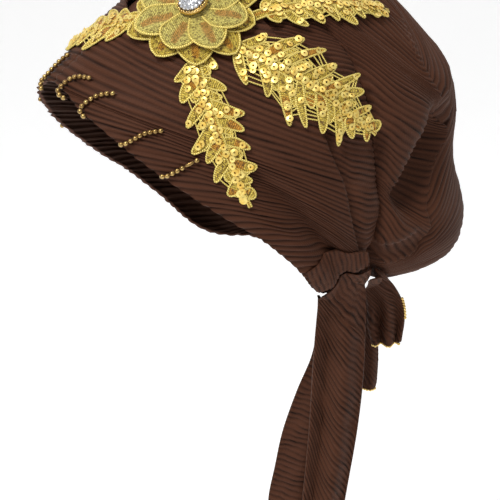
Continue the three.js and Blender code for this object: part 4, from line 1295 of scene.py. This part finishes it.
petal_cords = []
for name, (count, inner, outer, half, twist, raised, tip, thread) in PETAL_LAYERS.items():
    pads = []
    for k in range(count):
        bearing = (k + 0.5) / count * 2 * math.pi + twist
        reach_share = 1 + 0.05 * math.sin(k * 2.4 + count)
        t, s_ = np.meshgrid(np.linspace(0, 1, 22), np.linspace(-1, 1, 13), indexing="ij")
        shape = petal_shape(t)
        long = (outer - inner) * reach_share
        reach = inner + long * t
        aside = s_ * half * shape
        spots = flower_spot(reach, aside, bearing)
        dome = (0.75 * (1 - s_ ** 2) + 0.5 * np.exp(-((np.abs(s_) - 0.62) / 0.2) ** 2)) * shape
        groove = 0.55 * np.exp(-((s_ / 0.12) ** 2)) * smooth(0.1, 0.3, t)
        curl = tip * t ** 2 * 1.4 + 0.55 * s_ * shape
        base = petal_height(reach, aside, raised) + 0.55 + curl
        line = (np.abs(s_) < 0.2 + 0.1 * np.sin(math.pi * t)) & (t > 0.28) & (t < 0.9)
        uv = np.stack([reach + np.abs(aside) * 0.9, aside], -1) / 1000
        top = on_lace(spots, base + PETAL_WALL + dome - groove)
        pads.append((top, on_lace(spots, base), uv, line * 0.8, False))
        ring_t = np.concatenate([np.linspace(0.05, 1, 20), np.linspace(1, 0.05, 20)[1:]])
        ring_s = np.concatenate([np.ones(20), -np.ones(19)])
        ring_shape = petal_shape(ring_t)
        ring_reach, ring_aside = inner + long * ring_t, ring_s * half * ring_shape
        ring_spots = flower_spot(ring_reach, ring_aside, bearing)
        ring_base = (
            petal_height(ring_reach, ring_aside, raised) + 0.95
            + tip * ring_t ** 2 * 1.4 + 0.55 * ring_s * ring_shape
        )
        petal_cords.append(on_lace(ring_spots, ring_base))
    shell_mesh(name + "_stitched", pads, [thread], [name])
points, edges = polyline_edges(petal_cords)
grow("petal_edge_cords", cords, points, dict(Radius=0.0006, Sides=6.0), gold_cord, edges)

# flower centre
# A gold-coloured cup filled with small clear stones on a dome, with a milled rim.
STONE_RADIUS = 6.6
BED_HEIGHT = 1.8
CUP_RISE = 3.9
MILL_COUNT, MILL_RADIUS, MILL_HEIGHT = 30, 7.65, 2.35
bright_gold = metal_material("bezel_metal", (0.86, 0.62, 0.25), (0.62, 0.40, 0.12), roughness=0.16)
silver_bed = metal_material("stone_bed", (0.72, 0.72, 0.74), (0.35, 0.35, 0.37), roughness=0.25)
stone_mat, stone_tree_nodes, stone_shader = material("clear_stones")
stone_shader.inputs["Roughness"].default_value = 0.03
stone_shader.inputs["Metallic"].default_value = 0.55
stone_shader.inputs["IOR"].default_value = 2.1
stone_shader.inputs["Specular IOR Level"].default_value = 1.0
glint_coord = node(stone_tree_nodes, "ShaderNodeTexCoord")
glint = node(stone_tree_nodes, "ShaderNodeTexVoronoi", Scale=1400.0)
stone_tree_nodes.links.new(glint_coord.outputs["Object"], glint.inputs["Vector"])
glint_tone = mixed(stone_tree_nodes, glint.outputs["Distance"], (0.95, 0.96, 0.98), (0.35, 0.37, 0.42))
stone_tree_nodes.links.new(glint_tone, stone_shader.inputs["Base Color"])

cup_level = lace_bed(flower_dir[None])[0] + LACE_GAP + 2 * LACE_WALL + CUP_RISE
cup_spot = CENTRE + flower_dir * cup_level


def about_flower(a):
    """The way outwards from the flower's axis at an angle about it."""
    return flower_up * math.cos(a) + flower_side * math.sin(a)


def turned_solid(name, profile, sides, height, mat, node_names):
    """A solid of revolution on the flower's axis from (radius, height) pairs in mm."""
    ring = np.linspace(0, 2 * math.pi, sides, endpoint=False)
    verts, faces = [], []
    for radius, rise in profile:
        for a in ring:
            verts.append(cup_spot + flower_dir * (height + rise) + about_flower(a) * max(radius, 0.01))
    for i in range(len(profile) - 1):
        for k in range(sides):
            n = (k + 1) % sides
            faces.append((i * sides + k, i * sides + n, (i + 1) * sides + n, (i + 1) * sides + k))
    faces.append(tuple(range(sides))[::-1])
    faces.append(tuple((len(profile) - 1) * sides + k for k in range(sides)))
    obj = mesh_object(name, np.array(verts) / 1000, faces)
    obj.data.materials.append(mat)
    for face in obj.data.polygons:
        face.use_smooth = len(face.vertices) == 4
    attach(obj, "root")
    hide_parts(*node_names)


inner_edge = STONE_RADIUS + 0.6
turned_solid(
    "bezel_cup",
    [(0, 0), (7.4, 0), (7.9, 0.3), (8.2, 0.9), (8.15, 1.7), (7.85, 2.25), (7.5, 2.4), (inner_edge, 2.2),
     (inner_edge, 1), (0, 1)],
    48, 0, bright_gold, ["bezel"],
)
turned_solid(
    "stone_bed",
    [(0, 0), (6.5, 0), (6.6, 0.6), (6.5, 1.4), (5.9, 2.3), (4.9, 3.0), (3.6, 3.5), (2.0, 3.85), (0, 3.95)],
    32, BED_HEIGHT, silver_bed, ["stones"],
)
gems, gem_aims, gem_sizes = [], [], []
for ring_radius, number, rise in ((0, 1, 3.9), (2.45, 6, 3.6), (4.75, 12, 2.75), (6.1, 17, 1.7)):
    for k in range(number):
        a = 2 * math.pi * k / number + ring_radius
        outward = about_flower(a)
        gems.append(cup_spot + flower_dir * (BED_HEIGHT + rise) + outward * ring_radius)
        gem_aims.append(unit(flower_dir + outward * ring_radius * 0.11))
        gem_sizes.append((1, 1, 0.62) if ring_radius < 6 else (0.8, 0.8, 0.6))
grow("pave_stones", stone_tree, gems, dict(Radius=0.00128), stone_mat, facing=gem_aims,
     size=gem_sizes)
mill, mill_aims = [], []
for k in range(MILL_COUNT):
    a = 2 * math.pi * k / MILL_COUNT
    mill.append(cup_spot + flower_dir * MILL_HEIGHT + about_flower(a) * MILL_RADIUS)
    mill_aims.append(flower_dir)
grow("bezel_milled_rim", bead_tree, mill, dict(Radius=0.00062), bright_gold, facing=mill_aims,
     size=np.ones((MILL_COUNT, 3)))

# strings of beads
# Short strings of dark brass-coloured beads, sewn down at the rim, that lie back over the band. The last
# string before the temple on each side has one long bugle bead among the round ones.
BEAD_PITCH = 2.8
STITCH_DEPTH = 1.1
STRINGS = {
    # turn, lift and height above the band, from the rim backwards
    "beads_right_1": [(-1.5, 17, 1.6), (-3.4, 18.6, 3.2), (-4.6, 21, 2), (-4.4, 24, 2), (-3, 26.6, 2)],
    "beads_centre": [(8, 17, 1.6), (5.6, 18, 3.2), (5.4, 20.6, 2), (7.4, 22.4, 2), (11.4, 23, 2)],
    "beads_left_1": [(14.4, 14, 1.6), (13, 15.8, 3), (14.2, 18.6, 2), (16.4, 20.2, 2), (19, 21, 2)],
    "beads_left_2": [(22.6, 9.4, 1.6), (24, 9.6, 2.8), (25.6, 11, 2), (28, 12.8, 2), (32, 14, 2)],
    "beads_left_3": [(32, 2.4, 1.6), (33.4, 2.2, 2.8), (35.6, 3.4, 2), (38, 5, 2), (41.4, 7, 2)],
    "beads_right_2": [(-20, 11.4, 1.6), (-21, 12, 2.8), (-23, 13.6, 2), (-26, 15, 2), (-29.6, 16, 2)],
    "beads_right_3": [(-32, 2.4, 1.6), (-33.4, 2.2, 2.8), (-35.6, 3.4, 2), (-38, 5, 2), (-41.4, 7, 2)],
}
brass = metal_material("antique_beads", (0.52, 0.36, 0.13), (0.24, 0.14, 0.05), roughness=0.26, scale=500.0)
sewing_thread = cord_material("brown_thread", (0.12, 0.06, 0.035), (0.03, 0.015, 0.01), metallic=0.0,
                              roughness=0.7)
threads = []
for name, path in STRINGS.items():
    path = np.array(path, float)
    dirs = from_turn_lift(path[:, 0], path[:, 1])
    control = CENTRE + dirs * (band_radius(dirs) + path[:, 2])[:, None]
    fine = spline_rows(control, np.linspace(0, len(path) - 1, 200))
    run = np.concatenate([[0], np.cumsum(np.linalg.norm(np.diff(fine, axis=0), axis=1))])
    count = round(run[-1] / BEAD_PITCH)

    def along_string(share):
        share = np.asarray(share, float) * run[-1]
        return np.stack([np.interp(share, run, fine[:, k]) for k in range(3)], -1)
    at = (np.arange(count) + 0.5) / count
    aims = unit(along_string(np.minimum(at + 0.02, 1)) - along_string(at - 0.02))
    sizes = np.ones((count, 3)) * (1.0, 1.0, 1.06)
    if name.endswith("_3"):
        bugle = count - 3
        sizes[bugle] = (0.78, 0.78, 2.0)
        at[bugle] += 0.5 / count
        keep = np.arange(count) != bugle + 1
        at, aims, sizes = at[keep], aims[keep], sizes[keep]
    grow(name + "_strung", bead_tree, along_string(at), dict(Radius=0.00132), brass,
         facing=aims, size=sizes, node_names=[name])
    threads.append(along_string(np.linspace(0, 1, 24)))
    stitch = along_string(np.array([0.0, 1.0]))
    for end, base in ((stitch[0], fine[0] - CENTRE), (stitch[1], fine[-1] - CENTRE)):
        inward = unit(base)
        threads.append([end, end - inward * STITCH_DEPTH])
points, edges = polyline_edges(threads)
grow("bead_threads", cords, points, dict(Radius=0.0003, Sides=6.0), sewing_thread, edges)

# hem beads
# Small bright gold-coloured beads sewn close together along the hems of the short ends.
hem_gold = metal_material("hem_beads", (0.90, 0.68, 0.26), (0.66, 0.42, 0.12), roughness=0.2)
HEM_PITCH = 1.9
hem_points, hem_aims = [], []
HEMS = [
    # end, then stretches of (share across, height) along its edge
    ("tail_short", [(-1.0, -101), (1.0, -101)]),
    ("tail_short", [(1.0, -71), (1.0, -86)]),
    ("tail_under", [(-1.0, -131), (1.0, -131)]),
]
for tail_name, ((s0, z0), (s1, z1)) in HEMS:
    steps = np.linspace(0, 1, 80)
    spots = np.stack([s0 + (s1 - s0) * steps, z0 + (z1 - z0) * steps, 0 * steps], -1)
    line = tail_sheet(TAILS[tail_name], spots)
    line[:, 2] -= 0.6 if z0 == z1 else 0
    line = line + (TAIL_ACROSS * 0.7 if s0 == s1 else 0)
    run = np.concatenate([[0], np.cumsum(np.linalg.norm(np.diff(line, axis=0), axis=1))])
    at = np.arange(0.8, run[-1], HEM_PITCH)
    row = np.stack([np.interp(at, run, line[:, k]) for k in range(3)], -1)
    hem_points.extend(row)
    hem_aims.extend(unit(np.gradient(row, axis=0)))
grow("hem_beads_short_ends", bead_tree, hem_points, dict(Radius=0.0009), hem_gold,
     facing=hem_aims, size=np.ones((len(hem_points), 3)))


def frond_cut(frond):
    """Flat width, length and thread area of a frond in mm, from the outlines of its fingers and midrib."""
    long_ones = frond_fingers(frond)
    both = long_ones + frond_fingers(frond, between=True)
    half_widths = finger_shape(np.linspace(0, 1, 60)) * LACE_INSET
    width = 2 * max(finger[4] for finger in long_ones)
    span = float(frond_axes(frond, 0.5)[3]) * PACE
    fingers_area = sum(2 * finger[6] * half_widths.mean() * finger[4] * FINGER_SLANT for finger in both)
    t = np.linspace(*MIDRIB_SPAN, 60)
    midrib_area = 2 * midrib_width(t).mean() * span * (MIDRIB_SPAN[1] - MIDRIB_SPAN[0])
    return width, span * (MIDRIB_SPAN[1] - MIDRIB_SPAN[0]), fingers_area + midrib_area


for name, frond in FRONDS.items():
    width, length, area = frond_cut(frond)
for name, (count, inner, outer, half, *_) in PETAL_LAYERS.items():
    area = count * 2 * half * petal_shape(np.linspace(0, 1, 60)).mean() * (outer - inner) / 1e6

size = {"cad": [list(map(float, c)) for c in cad_box], "visual": [list(map(float, c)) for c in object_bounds()]}
